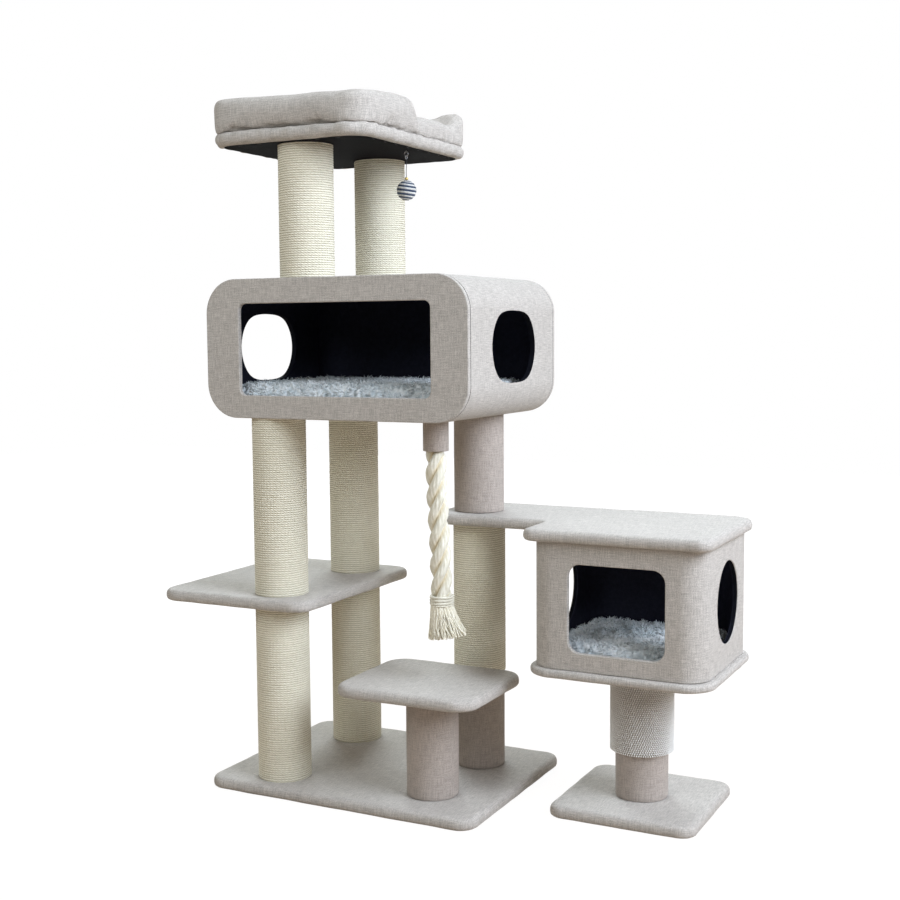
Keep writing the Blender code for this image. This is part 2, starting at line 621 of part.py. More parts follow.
def cabin():
    """The cabin's floor board and its bent wall, open above and below, with a window and two side holes."""
    outline = cabin_outline(-CABIN_FLOOR_OVERHANG)
    floor = board("cabin_floor_board", outline, CABIN_FLOOR_LEVEL, CABIN_FLOOR_THICKNESS)
    place = (CABIN_POST_X, CABIN_POST_Y)
    face = CABIN_FLOOR_LEVEL + CABIN_FLOOR_THICKNESS
    seat_and_bolt(floor, "cabin_floor_bolt", place, face, CABIN_FLOOR_THICKNESS, -1)
    top = CABIN_WALL_FOOT + CABIN_HEIGHT
    wall = frame("cabin_wall", cabin_outline(0), cabin_outline(CABIN_WALL), CABIN_WALL_FOOT, top)
    dressed(wall, LINEN)
    sill = CABIN_WALL_FOOT + CABIN_WINDOW_SILL
    window = rectangle(
        CABIN_POST_X - CABIN_WINDOW_WIDTH / 2, CABIN_POST_X + CABIN_WINDOW_WIDTH / 2,
        sill, sill + CABIN_WINDOW_HEIGHT, CABIN_WINDOW_CORNER,
    )
    inner_face = CABIN_FRONT + CABIN_WALL
    through_hole(wall, "cabin_window_cut", window, CABIN_FRONT - CUT_PAST, inner_face + CUT_PAST, "Y")
    hole = []
    for index in range(HOLE_SIDES):
        angle = 2 * math.pi * index / HOLE_SIDES
        hole.append((
            CABIN_POST_Y + CABIN_HOLE_WIDTH / 2 * math.cos(angle),
            CABIN_WALL_FOOT + CABIN_HOLE_CENTRE + CABIN_HOLE_HEIGHT / 2 * math.sin(angle),
        ))
    through_hole(wall, "cabin_side_cut", hole, CABIN_LEFT - CUT_PAST, CABIN_RIGHT + CUT_PAST, "X")


def cabin_cushion():
    low = CABIN_WALL_FOOT
    made = slab(
        "cabin_cushion", cabin_outline(CABIN_WALL + CUSHION_CLEARANCE), low, low + CABIN_CUSHION_THICKNESS,
        end_round=CABIN_CUSHION_ROUND,
    )
    dressed(made, FUR)


# ---- Perch -------------------------------------------------------------------------------------------
def perch_outline(inset, radius):
    half = PERCH_DEPTH / 2
    return rectangle(PERCH_LEFT + inset, PERCH_RIGHT - inset, inset - half, half - inset, radius)


def perch():
    """The padded perch board on its two posts, held by bolts under the pad."""
    made = slab(
        "perch_board", perch_outline(0, PERCH_CORNER), PERCH_LEVEL, PERCH_SEAT,
        start_round=PERCH_BOARD_ROUND, end_round=PERCH_BOARD_ROUND,
    )
    dressed(made, LINEN)
    for name, side in (("front", -1), ("back", 1)):
        place = (TOP_POSTS_X, side * LEFT_POSTS_Y)
        sisal_post(f"{name}_top", place, TOP_POST_FOOT, TOP_POST_LENGTH)
        seat_and_bolt(made, name + "_perch_bolt", place, PERCH_SEAT, PERCH_BOARD_THICKNESS, -1)
    pad = slab(
        "perch_pad", perch_outline(BOLSTER_THICKNESS + CUSHION_CLEARANCE, BOLSTER_INNER_CORNER),
        PERCH_SEAT + SEAT_GAP, PERCH_SEAT + SEAT_GAP + PERCH_PAD_THICKNESS, end_round=PERCH_PAD_ROUND,
    )
    dressed(pad, LINEN)


def bolster_height(x, y):
    """The bolster's height at a place: low across the entry on the right side, and full elsewhere."""
    if x < PERCH_RIGHT - ENTRY_REACH:
        return BOLSTER_HEIGHT
    past = (abs(y - ENTRY_MIDDLE) - ENTRY_FLAT / 2) / ENTRY_SLOPE
    share = min(max(past, 0.0), 1.0)
    eased = share * share * (3 - 2 * share)
    return BOLSTER_ENTRY_HEIGHT + (BOLSTER_HEIGHT - BOLSTER_ENTRY_HEIGHT) * eased


def perch_bolster():
    """The raised cushion roll round the perch, scooped out on the right for the way in."""
    outer = perch_outline(0, PERCH_CORNER)
    inner = perch_outline(BOLSTER_THICKNESS, BOLSTER_INNER_CORNER)
    outer_points = []
    inner_points = []
    for index in range(len(outer)):
        nearby = (index + 1) % len(outer)
        run = (Vector(outer[nearby]) - Vector(outer[index])).length
        parts = max(1, math.ceil(run / BOLSTER_STATION))
        for part in range(parts):
            outer_points.append(Vector(outer[index]).lerp(Vector(outer[nearby]), part / parts))
            inner_points.append(Vector(inner[index]).lerp(Vector(inner[nearby]), part / parts))
    bm = bmesh.new()
    rings = []
    for outside, inside in zip(outer_points, inner_points):
        height = bolster_height(outside.x, outside.y)
        ring = []
        for across, up in BOLSTER_SECTION:
            here = outside.lerp(inside, across)
            ring.append(bm.verts.new((here.x, here.y, PERCH_SEAT + SEAT_GAP + up * height)))
        rings.append(ring)
    for first, second in zip(rings, rings[1:] + rings[:1]):
        for index in range(len(BOLSTER_SECTION)):
            nearby = (index + 1) % len(BOLSTER_SECTION)
            bm.faces.new((first[index], second[index], second[nearby], first[nearby]))
    dressed(placed("perch_bolster", bm), LINEN)


# ---- Rope --------------------------------------------------------------------------------------------
def corded(name, points, radius, resolution, finish):
    """A cord through (point, width) pairs, as one tube with filled ends. Width is a share of the radius."""
    curve = bpy.data.curves.new(name, "CURVE")
    curve.dimensions = "3D"
    curve.bevel_depth = radius
    curve.bevel_resolution = resolution
    curve.use_fill_caps = True
    spline = curve.splines.new("POLY")
    spline.points.add(len(points) - 1)
    for spot, (point, width) in zip(spline.points, points):
        spot.co = (*point, 1)
        spot.radius = width
    obj = bpy.data.objects.new(name, curve)
    bpy.context.scene.collection.objects.link(obj)
    return dressed(obj, finish)


def rope_x(share):
    """Where the rope hangs, along X, at a share of its length below the collar."""
    return ROPE_FROM_MIDDLE + ROPE_DRIFT * share * share * (3 - 2 * share)


def rope():
    """The thick rope that hangs from its collar under the condo, whipped and frayed at its end. Its domed
    top turns in the collar's socket, about the middle of the collar's mouth."""
    socket = ROPE_RADIUS + COLLAR_SOCKET_CLEARANCE
    roof = ROPE_RADIUS + COLLAR_CROWN
    profile = [
        (0, COLLAR_LENGTH), (COLLAR_RADIUS, COLLAR_LENGTH), (COLLAR_RADIUS, 0),
        (socket, 0), (socket, roof), (0, roof),
    ]
    mouth = (ROPE_FROM_MIDDLE, STEP_POST_Y, COLLAR_MOUTH)
    dressed(turned("rope_collar", profile, mouth, POST_SIDES, closed=False), POST_LINEN)
    points = []
    for index in range(1, ROPE_DOME_STATIONS + 1):
        angle = math.pi / 2 * index / (ROPE_DOME_STATIONS + 1)
        level = COLLAR_MOUTH + ROPE_RADIUS * math.cos(angle)
        points.append(((ROPE_FROM_MIDDLE, STEP_POST_Y, level), math.sin(angle)))
    for index in range(ROPE_STATIONS):
        share = index / (ROPE_STATIONS - 1)
        points.append(((rope_x(share), STEP_POST_Y, COLLAR_MOUTH - ROPE_HANG * share), 1.0))
    corded("rope", points, ROPE_RADIUS, 3, COTTON)


def rope_end():
    """The whipping bound round the rope's end, and the frayed tassel below it."""
    place = (rope_x(1.0), STEP_POST_Y)
    inside = ROPE_RADIUS + WHIPPING_CLEARANCE
    foot = ROPE_END + WHIPPING_FROM_END
    sleeve("rope_whipping", place, foot, WHIPPING_LENGTH, inside, inside + WHIPPING_THICKNESS, COTTON)
    profile = [
        (0, 0), (ROPE_RADIUS, 0), (ROPE_RADIUS, -TASSEL_LENGTH / 8),
        ((ROPE_RADIUS + TASSEL_END_RADIUS) / 2, -TASSEL_LENGTH / 2),
        (TASSEL_END_RADIUS, -TASSEL_LENGTH), (0, -TASSEL_LENGTH),
    ]
    tassel = turned("rope_tassel", profile, (*place, ROPE_END - SEAT_GAP), POST_SIDES // 2, closed=False)
    for vertex in tassel.data.vertices:
        vertex.co.x += TASSEL_LEAN * (vertex.co.z / TASSEL_LENGTH) ** 2
    dressed(tassel, COTTON)


# ---- Toy ---------------------------------------------------------------------------------------------
def wire_ring(name, radius, wire, sides):
    """A ring of round wire, standing in the XZ plane, at the origin."""
    bm = bmesh.new()
    made = bmesh.ops.create_circle(bm, segments=WIRE_SIDES, radius=wire)
    bmesh.ops.translate(bm, verts=made["verts"], vec=(radius, 0, 0))
    edges = list(bm.edges)
    bmesh.ops.spin(
        bm, geom=made["verts"] + edges, axis=(0, 1, 0), cent=(0, 0, 0), angle=2 * math.pi, steps=sides,
        use_merge=True,
    )
    bmesh.ops.remove_doubles(bm, verts=bm.verts, dist=1e-7)
    return placed(name, bm)


def toy():
    """The screw eye under the perch and what hangs from it: a ring, a cord, a bead and a wound ball."""
    eye_level = PERCH_LEVEL - EYE_NECK - EYE_RADIUS
    pivot = eye_level - EYE_RADIUS
    eye = wire_ring("toy_screw_eye", EYE_RADIUS, EYE_WIRE, POST_SIDES // 2)
    eye.location = (TOY_X, TOY_Y, eye_level)
    neck = turned(
        "toy_eye_neck",
        [(0, 0), (EYE_SHANK_RADIUS, 0), (EYE_SHANK_RADIUS, EYE_NECK + EYE_SHANK), (0, EYE_NECK + EYE_SHANK)],
        (TOY_X, TOY_Y, eye_level + EYE_RADIUS), WIRE_SIDES, closed=False,
    )
    combine(eye, neck, "UNION")
    dressed(eye, STEEL)
    bore = EYE_SHANK_RADIUS + SEAT_GAP
    perch_cut = [(0, -CUT_PAST), (bore, -CUT_PAST), (bore, EYE_SHANK + SEAT_GAP)]
    cutter = turned(
        "perch_eye_cut", perch_cut + [(0, EYE_SHANK + SEAT_GAP)], (TOY_X, TOY_Y, PERCH_LEVEL), WIRE_SIDES,
        closed=False,
    )
    combine(bpy.data.objects["perch_board"], cutter, "DIFFERENCE")
    ring_level = pivot + EYE_WIRE + RING_WIRE + SEAT_GAP - RING_RADIUS
    ring = wire_ring("toy_ring", RING_RADIUS, RING_WIRE, POST_SIDES // 2)
    ring.rotation_euler = (0, 0, math.pi / 2)
    ring.location = (TOY_X, TOY_Y, ring_level)
    dressed(ring, STEEL)
    cord_top = ring_level - RING_RADIUS - RING_WIRE - SEAT_GAP
    points = []
    for index in range(TOY_CORD_STATIONS):
        share = index / (TOY_CORD_STATIONS - 1)
        points.append(((TOY_X, TOY_Y, cord_top - TOY_CORD_LENGTH * share), 1.0))
    corded("toy_cord", points, TOY_CORD_RADIUS, 2, DARK_CORD)
    bead_top = cord_top - TOY_CORD_LENGTH - SEAT_GAP
    profile = [
        (0, 0), (BEAD_END_RADIUS, 0), (BEAD_RADIUS, -BEAD_CHAMFER), (BEAD_RADIUS, BEAD_CHAMFER - BEAD_HEIGHT),
        (BEAD_END_RADIUS, -BEAD_HEIGHT), (0, -BEAD_HEIGHT),
    ]
    dressed(turned("toy_bead", profile, (TOY_X, TOY_Y, bead_top), CORE_SIDES, closed=False), BRASS)
    bm = bmesh.new()
    bmesh.ops.create_uvsphere(bm, u_segments=CORE_SIDES, v_segments=CORE_SIDES // 2 + 2, radius=BALL_RADIUS)
    ball_level = bead_top - BEAD_HEIGHT - SEAT_GAP - BALL_RADIUS
    dressed(placed("toy_ball", bm, (TOY_X, TOY_Y, ball_level)), YARN)


clear_scene()
main_base()
left_posts()
left_shelf()
right_column()
step()
bridge()
condo()
condo_cushion()
cabin_stand()
cabin()
cabin_cushion()
perch()
perch_bolster()
rope()
rope_end()
toy()
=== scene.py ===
# %% [markdown]
# # A cat tree, dressed piece by piece
# The tower, its box condo, its side cabin and its padded perch were first made as exact solids with joints.
# Here those solids are a fixed frame, and each visible surface is modelled over it: boards wrapped in
# padded linen, posts wound with sisal cord, fur cushions, a cotton rope and a yarn ball.
# Every place below comes from the frame, so nothing has to be fitted by eye.

# %% Load the frame
import math
import random

import bmesh
import bpy
import numpy as np
from mathutils import Matrix, Vector


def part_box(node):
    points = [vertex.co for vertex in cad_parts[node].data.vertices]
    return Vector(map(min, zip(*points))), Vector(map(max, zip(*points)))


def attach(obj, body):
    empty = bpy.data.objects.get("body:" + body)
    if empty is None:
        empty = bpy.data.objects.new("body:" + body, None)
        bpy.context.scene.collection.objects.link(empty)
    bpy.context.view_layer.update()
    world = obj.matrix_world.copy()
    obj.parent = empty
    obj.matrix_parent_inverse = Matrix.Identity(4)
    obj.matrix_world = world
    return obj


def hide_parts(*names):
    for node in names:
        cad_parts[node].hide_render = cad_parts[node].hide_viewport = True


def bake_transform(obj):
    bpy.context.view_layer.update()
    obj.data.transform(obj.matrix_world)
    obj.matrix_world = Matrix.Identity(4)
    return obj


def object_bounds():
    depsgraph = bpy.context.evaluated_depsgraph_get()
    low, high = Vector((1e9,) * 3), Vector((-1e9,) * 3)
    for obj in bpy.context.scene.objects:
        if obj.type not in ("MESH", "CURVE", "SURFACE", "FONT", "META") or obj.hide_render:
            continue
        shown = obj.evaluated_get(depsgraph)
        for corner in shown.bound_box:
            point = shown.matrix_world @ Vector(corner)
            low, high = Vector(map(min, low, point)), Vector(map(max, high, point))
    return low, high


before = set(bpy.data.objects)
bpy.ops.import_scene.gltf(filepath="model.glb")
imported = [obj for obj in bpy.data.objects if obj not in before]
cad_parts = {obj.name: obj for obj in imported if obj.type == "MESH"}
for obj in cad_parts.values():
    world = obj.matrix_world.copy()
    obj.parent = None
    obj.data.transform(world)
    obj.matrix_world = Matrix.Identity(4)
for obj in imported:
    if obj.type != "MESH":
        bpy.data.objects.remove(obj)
cad_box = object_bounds()

# %% [markdown]
# ## The studio
# A cat tree is usually shown on a white sweep with large soft lights round it. The pale fabric needs a
# clear direction of light, or its weave disappears. So the key light is a big cool square high on the
# right. A second one stands behind on the left, and two weak ones hang over the boards and stand in front.
# The light from all round is a little warm, so that the shaded sides turn brownish and not grey.

# %% Floor, sky and lights
LIGHTS = {  # place, target, side in metres, power in watts, colour
    "key": ((3.4, -0.55, 2.65), (0.15, 0.0, 0.80), 2.4, 204.0, (0.79, 0.875, 1.0)),
    "over": ((0.5, 0.6, 3.6), (0.2, 0.0, 0.6), 2.6, 28.0, (0.90, 0.96, 1.0)),
    "front": ((-0.9, -2.4, 2.4), (0.0, 0.0, 1.1), 1.6, 30.0, (0.88, 0.95, 1.0)),
    "behind": ((-1.8, 3.2, 2.2), (0.0, 0.0, 0.8), 2.4, 150.0, (0.84, 0.95, 1.0)),
}
SKY_LIGHT = (0.238, 0.222, 0.192)
FLOOR_SIDE = 14.0


def aimed(obj, target):
    """Turns a light or camera so that it looks at the target."""
    way = Vector(target) - obj.location
    obj.rotation_euler = way.to_track_quat("-Z", "Y").to_euler()


for name, (place, target, side, power, colour) in LIGHTS.items():
    lamp = bpy.data.lights.new(name, "AREA")
    lamp.size = side
    lamp.energy = power
    lamp.color = colour
    holder = bpy.data.objects.new(name, lamp)
    holder.location = place
    bpy.context.scene.collection.objects.link(holder)
    aimed(holder, target)

sky = bpy.data.worlds.new("sky")
sky.use_nodes = True
bpy.context.scene.world = sky
sky_nodes = sky.node_tree.nodes
sky_links = sky.node_tree.links
seen = sky_nodes.new("ShaderNodeLightPath")
tint = sky_nodes.new("ShaderNodeMix")
tint.data_type = "RGBA"
tint.inputs[6].default_value = (*SKY_LIGHT, 1)
tint.inputs[7].default_value = (1, 1, 1, 1)
sky_links.new(seen.outputs["Is Camera Ray"], tint.inputs[0])
sky_links.new(tint.outputs[2], sky_nodes["Background"].inputs["Color"])
bpy.context.scene.view_settings.view_transform = "Standard"
print("lights", len(LIGHTS))

# %% [markdown]
# ## The camera
# The camera stands a little to the right of the front, about as high as the condo, and looks slightly
# down. A normal lens of about 53 mm keeps the tall posts from leaning.

# %% Camera
CAMERA_PLACE = (1.4919, -2.6133, 1.0246)
CAMERA_YAW = math.radians(26.907)
CAMERA_PITCH = math.radians(-5.076)
CAMERA_ROLL = math.radians(-0.411)
CAMERA_LENS = 52.98

lens = bpy.data.cameras.new("camera")
lens.lens = CAMERA_LENS
lens.sensor_width = 36.0
camera = bpy.data.objects.new("camera", lens)
bpy.context.scene.collection.objects.link(camera)
right = Vector((math.cos(CAMERA_YAW), math.sin(CAMERA_YAW), 0))
ahead = Vector((
    -math.sin(CAMERA_YAW) * math.cos(CAMERA_PITCH),
    math.cos(CAMERA_YAW) * math.cos(CAMERA_PITCH),
    math.sin(CAMERA_PITCH),
))
up = right.cross(ahead)
rolled_right = right * math.cos(CAMERA_ROLL) + up * math.sin(CAMERA_ROLL)
rolled_up = up * math.cos(CAMERA_ROLL) - right * math.sin(CAMERA_ROLL)
turn = Matrix((rolled_right, rolled_up, -ahead)).transposed()
camera.matrix_world = Matrix.Translation(CAMERA_PLACE) @ turn.to_4x4()
bpy.context.scene.camera = camera
print("camera at", CAMERA_PLACE)

# %% [markdown]
# ## A few tools of the trade
# In Blender an operator works on whatever is selected. These helpers select first and then act, so each
# later cell can say what it does to a piece: pick the edges of a rim, round them, cut a window.

# %% Selecting and shaping
def only(obj):
    """Selects one object and nothing else."""
    bpy.ops.object.select_all(action="DESELECT")
    obj.select_set(True)
    bpy.context.view_layer.objects.active = obj


def settled(obj, name):
    """Names a new object and puts its place, turn and size into its mesh."""
    obj.name = name
    obj.data.name = name
    only(obj)
    bpy.ops.object.transform_apply(location=True, rotation=True, scale=True)
    return obj


def block(name, low, high):
    """A box between two corners."""
    bpy.ops.object.select_all(action="DESELECT")
    middle = [(a + b) / 2 for a, b in zip(low, high)]
    bpy.ops.mesh.primitive_cube_add(size=1, location=middle)
    obj = bpy.context.object
    obj.scale = [b - a for a, b in zip(low, high)]
    return settled(obj, name)


def drum(name, place, radius, low, high, sides):
    """An upright cylinder."""
    bpy.ops.object.select_all(action="DESELECT")
    bpy.ops.mesh.primitive_cylinder_add(
        vertices=sides, radius=radius, depth=high - low, location=(place[0], place[1], (low + high) / 2)
    )
    return settled(bpy.context.object, name)


def edit(obj):
    """Opens an object in edit mode, with nothing selected."""
    only(obj)
    bpy.ops.object.mode_set(mode="EDIT")
    bpy.ops.mesh.select_all(action="DESELECT")


def done():
    bpy.ops.object.mode_set(mode="OBJECT")


def pick(obj, kind, test):
    """Selects the points, edges or faces of an opened object that pass the test."""
    bpy.context.tool_settings.mesh_select_mode = [kind == name for name in ("verts", "edges", "faces")]
    bpy.ops.mesh.select_all(action="DESELECT")
    for part in getattr(bmesh.from_edit_mesh(obj.data), kind):
        if test(part):
            part.select_set(True)
    bmesh.update_edit_mesh(obj.data)


def pick_faces(obj, test):
    """Selects the faces whose middle and normal pass the test."""
    pick(obj, "faces", lambda face: test(face.calc_center_median(), face.normal))


def pick_edges(obj, test):
    """Selects the edges whose middle and direction pass the test."""
    def passes(edge):
        a, b = (vertex.co for vertex in edge.verts)
        return test((a + b) / 2, (b - a).normalized())
    pick(obj, "edges", passes)


def round_off(width, segments):
    """Bevels the selected edges."""
    bpy.ops.mesh.bevel(offset=width, segments=segments, affect="EDGES", clamp_overlap=False)


def modified(obj, kind, **settings):
    """Gives an object a modifier and applies it."""
    only(obj)
    change = obj.modifiers.new(kind.title(), kind)
    for key, value in settings.items():
        setattr(change, key, value)
    bpy.ops.object.modifier_apply(modifier=change.name)
    return obj


def cut(obj, cutter):
    """Cuts one object out of another, and throws the cutter away."""
    modified(obj, "BOOLEAN", object=cutter, operation="DIFFERENCE", solver="EXACT")
    bpy.data.objects.remove(cutter, do_unlink=True)
    return obj


def from_faces(name, points, faces):
    """A new object from its points and the numbers of each face's corners."""
    mesh = bpy.data.meshes.new(name)
    mesh.from_pydata(points, [], faces)
    obj = bpy.data.objects.new(name, mesh)
    bpy.context.scene.collection.objects.link(obj)
    return obj


def points_of(obj):
    """The vertices of a mesh as an array."""
    flat = np.empty(len(obj.data.vertices) * 3)
    obj.data.vertices.foreach_get("co", flat)
    return flat.reshape(-1, 3)


def normals_of(obj):
    flat = np.empty(len(obj.data.vertices) * 3)
    obj.data.vertex_normals.foreach_get("vector", flat)
    return flat.reshape(-1, 3)


def move_points(obj, points):
    obj.data.vertices.foreach_set("co", np.ascontiguousarray(points, dtype=float).ravel())
    obj.data.update()


def ripple(points, size, seed=0):
    """Smooth lumps of about the given size at each point, from -1 to 1. A few crossing waves, so that a run
    of the script always gives the same lumps."""
    turns = np.random.default_rng(seed)
    total = np.zeros(len(points))
    for _ in range(7):
        way = turns.normal(size=3)
        way /= np.linalg.norm(way)
        total += np.sin(points @ (way * 2 * math.pi / (size * turns.uniform(0.7, 1.5))) + turns.uniform(0, 7))
    return total / 3.2


def smoothstep(low, high, values):
    share = np.clip((values - low) / (high - low), 0, 1)
    return share * share * (3 - 2 * share)


def triangles(obj):
    return sum(len(face.vertices) - 2 for face in obj.data.polygons)


def shaded(obj, degrees=40):
    only(obj)
    bpy.ops.object.shade_smooth_by_angle(angle=math.radians(degrees))
    return obj


def dressed(obj, materials, body="tower", stands_for=(), lined=None):
    """Gives a piece its materials, and lets it ride on a body in place of CAD nodes. lined holds
    the number of the material that each face wears."""
    wanted = materials if isinstance(materials, (list, tuple)) else [materials]
    obj.data.materials.clear()
    for material in wanted:
        obj.data.materials.append(material)
    if lined is not None:
        obj.data.polygons.foreach_set("material_index", lined)
    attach(obj, body)
    if stands_for:
        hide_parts(*stands_for)
    print(obj.name, triangles(obj) if obj.type == "MESH" else "curve", "triangles")
    return obj


print("helpers ready")

# %% [markdown]
# ## Laying cloth flat on a piece
# A weave has to follow the cloth and not slide through the shape. So each covered piece gets its own flat
# map in metres, and the thread count is the same everywhere. A board is laid out face by face, as its
# cover is pulled round it. A post and a bent wall are laid out along their own round.

# %% Flat maps in metres
def lay_flat(obj, across):
    """Writes the flat map. across gives two columns of metres from the corners' points and face normals."""
    mesh = obj.data
    count = len(mesh.loops)
    corner = np.empty(count, dtype=np.int32)
    mesh.loops.foreach_get("vertex_index", corner)
    starts = np.empty(len(mesh.polygons), dtype=np.int32)
    totals = np.empty(len(mesh.polygons), dtype=np.int32)
    mesh.polygons.foreach_get("loop_start", starts)
    mesh.polygons.foreach_get("loop_total", totals)
    face_of = np.repeat(np.arange(len(mesh.polygons)), totals)
    normal = np.empty(len(mesh.polygons) * 3)
    mesh.polygons.foreach_get("normal", normal)
    points = points_of(obj)[corner]
    first = points[starts][face_of]
    layer = mesh.uv_layers.get("weave") or mesh.uv_layers.new(name="weave")
    pairs = across(points, normal.reshape(-1, 3)[face_of], first)
    layer.data.foreach_set("uv", np.ascontiguousarray(pairs, dtype=np.float32).ravel())
    return obj


def near_start(values, starts, turn):
    """Takes a whole turn off or adds one where a face would otherwise lie across the map's seam."""
    values = np.where(values - starts > turn / 2, values - turn, values)
    return np.where(starts - values > turn / 2, values + turn, values)


def by_face(points, normals, _):
    """Each face is laid out on the plane that it faces most."""
    facing = np.abs(normals)
    pairs = points[:, [0, 1]].copy()
    sideways = (facing[:, 0] >= facing[:, 1]) & (facing[:, 0] > facing[:, 2])
    frontways = (facing[:, 1] > facing[:, 0]) & (facing[:, 1] > facing[:, 2])
    pairs[sideways] = points[sideways][:, [1, 2]]
    pairs[frontways] = points[frontways][:, [0, 2]]
    return pairs


def round_a_post(x, y, radius, seam=math.pi / 2):
    """Along the round and up. The seam stands at the given angle, away from the front."""
    def across(points, normals, first):
        def angle_at(places):
            angle = np.arctan2(places[:, 1] - y, places[:, 0] - x) - seam
            return np.mod(angle, 2 * math.pi)
        angle = near_start(angle_at(points), angle_at(first), 2 * math.pi)
        pairs = np.stack([angle * radius, points[:, 2]], axis=1)
        ends = np.abs(normals[:, 2]) > 0.8
        pairs[ends] = points[ends][:, :2]
        return pairs
    return across


def round_a_wall(low, high, corner, axes):
    """Along the outline of a rounded box, and across it. The axes are the outline's two, then the other."""
    one, two, other = axes
    outline = []
    middles = [
        (high[0] - corner, low[1] + corner, -math.pi / 2), (high[0] - corner, high[1] - corner, 0),
        (low[0] + corner, high[1] - corner, math.pi / 2), (low[0] + corner, low[1] + corner, math.pi),
    ]
    for x, y, start in middles:
        for step in range(13):
            angle = start + math.pi / 2 * step / 12
            outline.append((x + corner * math.cos(angle), y + corner * math.sin(angle)))
    outline = np.array(outline + outline[:1])
    runs = np.linalg.norm(np.diff(outline, axis=0), axis=1)
    along = np.concatenate([[0], np.cumsum(runs)])

    def place_on(points):
        flat = points[:, [one, two]]
        best = np.full(len(flat), 1e9)
        value = np.zeros(len(flat))
        for index in range(len(runs)):
            if runs[index] < 1e-9:
                continue
            way = (outline[index + 1] - outline[index]) / runs[index]
            run = np.clip((flat - outline[index]) @ way, 0, runs[index])
            gap = np.linalg.norm(flat - outline[index] - run[:, None] * way, axis=1)
            nearer = gap < best - 1e-9
            best[nearer] = gap[nearer]
            value[nearer] = along[index] + run[nearer]
        return value

    def across(points, normals, first):
        value = near_start(place_on(points), place_on(first), along[-1])
        pairs = np.stack([value, points[:, other]], axis=1)
        ends = np.abs(normals[:, other]) > 0.8
        pairs[ends] = points[ends][:, [one, two]]
        return pairs
    return across


print("maps ready")
# %% [markdown]
# ## Finishes
# Every finish is a small node tree. A printed picture of a cloth could be wrapped round the pieces, but
# a procedure has no seams or blur, and one number can change it. The tree of a cloth reads the flat map in
# metres; the tree of a hard thing reads its place in space.

# %% Node tools
def new_material(name, roughness, metallic=0.0, sheen=0.0, specular=0.5):
    """A material with its constant values set on its shader."""
    material = bpy.data.materials.new(name)
    material.use_nodes = True
    shader = material.node_tree.nodes["Principled BSDF"]
    shader.inputs["Roughness"].default_value = roughness
    shader.inputs["Metallic"].default_value = metallic
    shader.inputs["Sheen Weight"].default_value = sheen
    shader.inputs["Sheen Roughness"].default_value = 0.5
    shader.inputs["Specular IOR Level"].default_value = specular
    return material


def node(material, kind, inputs=None, **settings):
    """Adds a node, sets or links its inputs, and returns its first output."""
    tree = material.node_tree
    made = tree.nodes.new("ShaderNode" + kind)
    for key, value in settings.items():
        setattr(made, key, value)
    for key, value in (inputs or {}).items():
        if isinstance(value, bpy.types.NodeSocket):
            tree.links.new(value, made.inputs[key])
        else:
            made.inputs[key].default_value = value
    return made.outputs[0]


def maths(material, operation, *values):
    return node(material, "Math", dict(enumerate(values)), operation=operation)


def stretched(material, value, low, high, start=0.0, end=1.0):
    """Maps low..high to start..end, held at the ends."""
    limits = {"From Min": low, "From Max": high, "To Min": start, "To Max": end}
    return node(material, "MapRange", {"Value": value, **limits})


def summed(material, *parts):
    """Adds up values, each times its own share."""
    products = [maths(material, "MULTIPLY", value, share) for value, share in parts]
    total = products[0]
    for product in products[1:]:
        total = maths(material, "ADD", total, product)
    return total


def noisy(material, where, scale, detail=2.0, roughness=0.6):
    kind = {"Scale": scale, "Detail": detail, "Roughness": roughness}
    return node(material, "TexNoise", {"Vector": where, **kind})


def scaled(material, where, scale, location=(0, 0, 0), turn=(0, 0, 0)):
    change = {"Scale": scale, "Location": location, "Rotation": turn}
    return node(material, "Mapping", {"Vector": where, **change})


def mixed(material, share, first, second):
    """A colour between two. Either may be a colour or a socket."""
    made = material.node_tree.nodes.new("ShaderNodeMix")
    made.data_type = "RGBA"
    for key, value in ((0, share), (6, first), (7, second)):
        if isinstance(value, bpy.types.NodeSocket):
            material.node_tree.links.new(value, made.inputs[key])
        else:
            made.inputs[key].default_value = (*value, 1) if key else value
    return made.outputs[2]


def surface(material, colour, height=None, distance=0.0005, strength=0.6):
    """Joins a colour and a height to the shader."""
    links = material.node_tree.links
    shader = material.node_tree.nodes["Principled BSDF"]
    links.new(colour, shader.inputs["Base Color"])
    if height is not None:
        bump = node(material, "Bump", {"Strength": strength, "Distance": distance, "Height": height})
        links.new(bump, shader.inputs["Normal"])
    return material


def object_place(material):
    tree = material.node_tree
    return tree.nodes.new("ShaderNodeTexCoord").outputs["Object"]


def flat_place(material):
    return node(material, "UVMap", uv_map="weave")


def parted(material, where):
    """The first and the second value of a vector."""
    split = material.node_tree.nodes.new("ShaderNodeSeparateXYZ")
    material.node_tree.links.new(where, split.inputs[0])
    return split.outputs["X"], split.outputs["Y"]


print("node tools ready")

# %% [markdown]
# ## Linen
# The boards, the condo and the cabin wear a coarse linen look: threads of uneven thickness in both
# directions, so that short pale and dark dashes cross each other. Two noises do it, one drawn out along
# the warp and one along the weft, and a third, fine one breaks them up. A product of two sines gives the
# small over-and-under of a plain weave.

# %% Woven cloths
SLUB_LENGTH = 16  # in threads


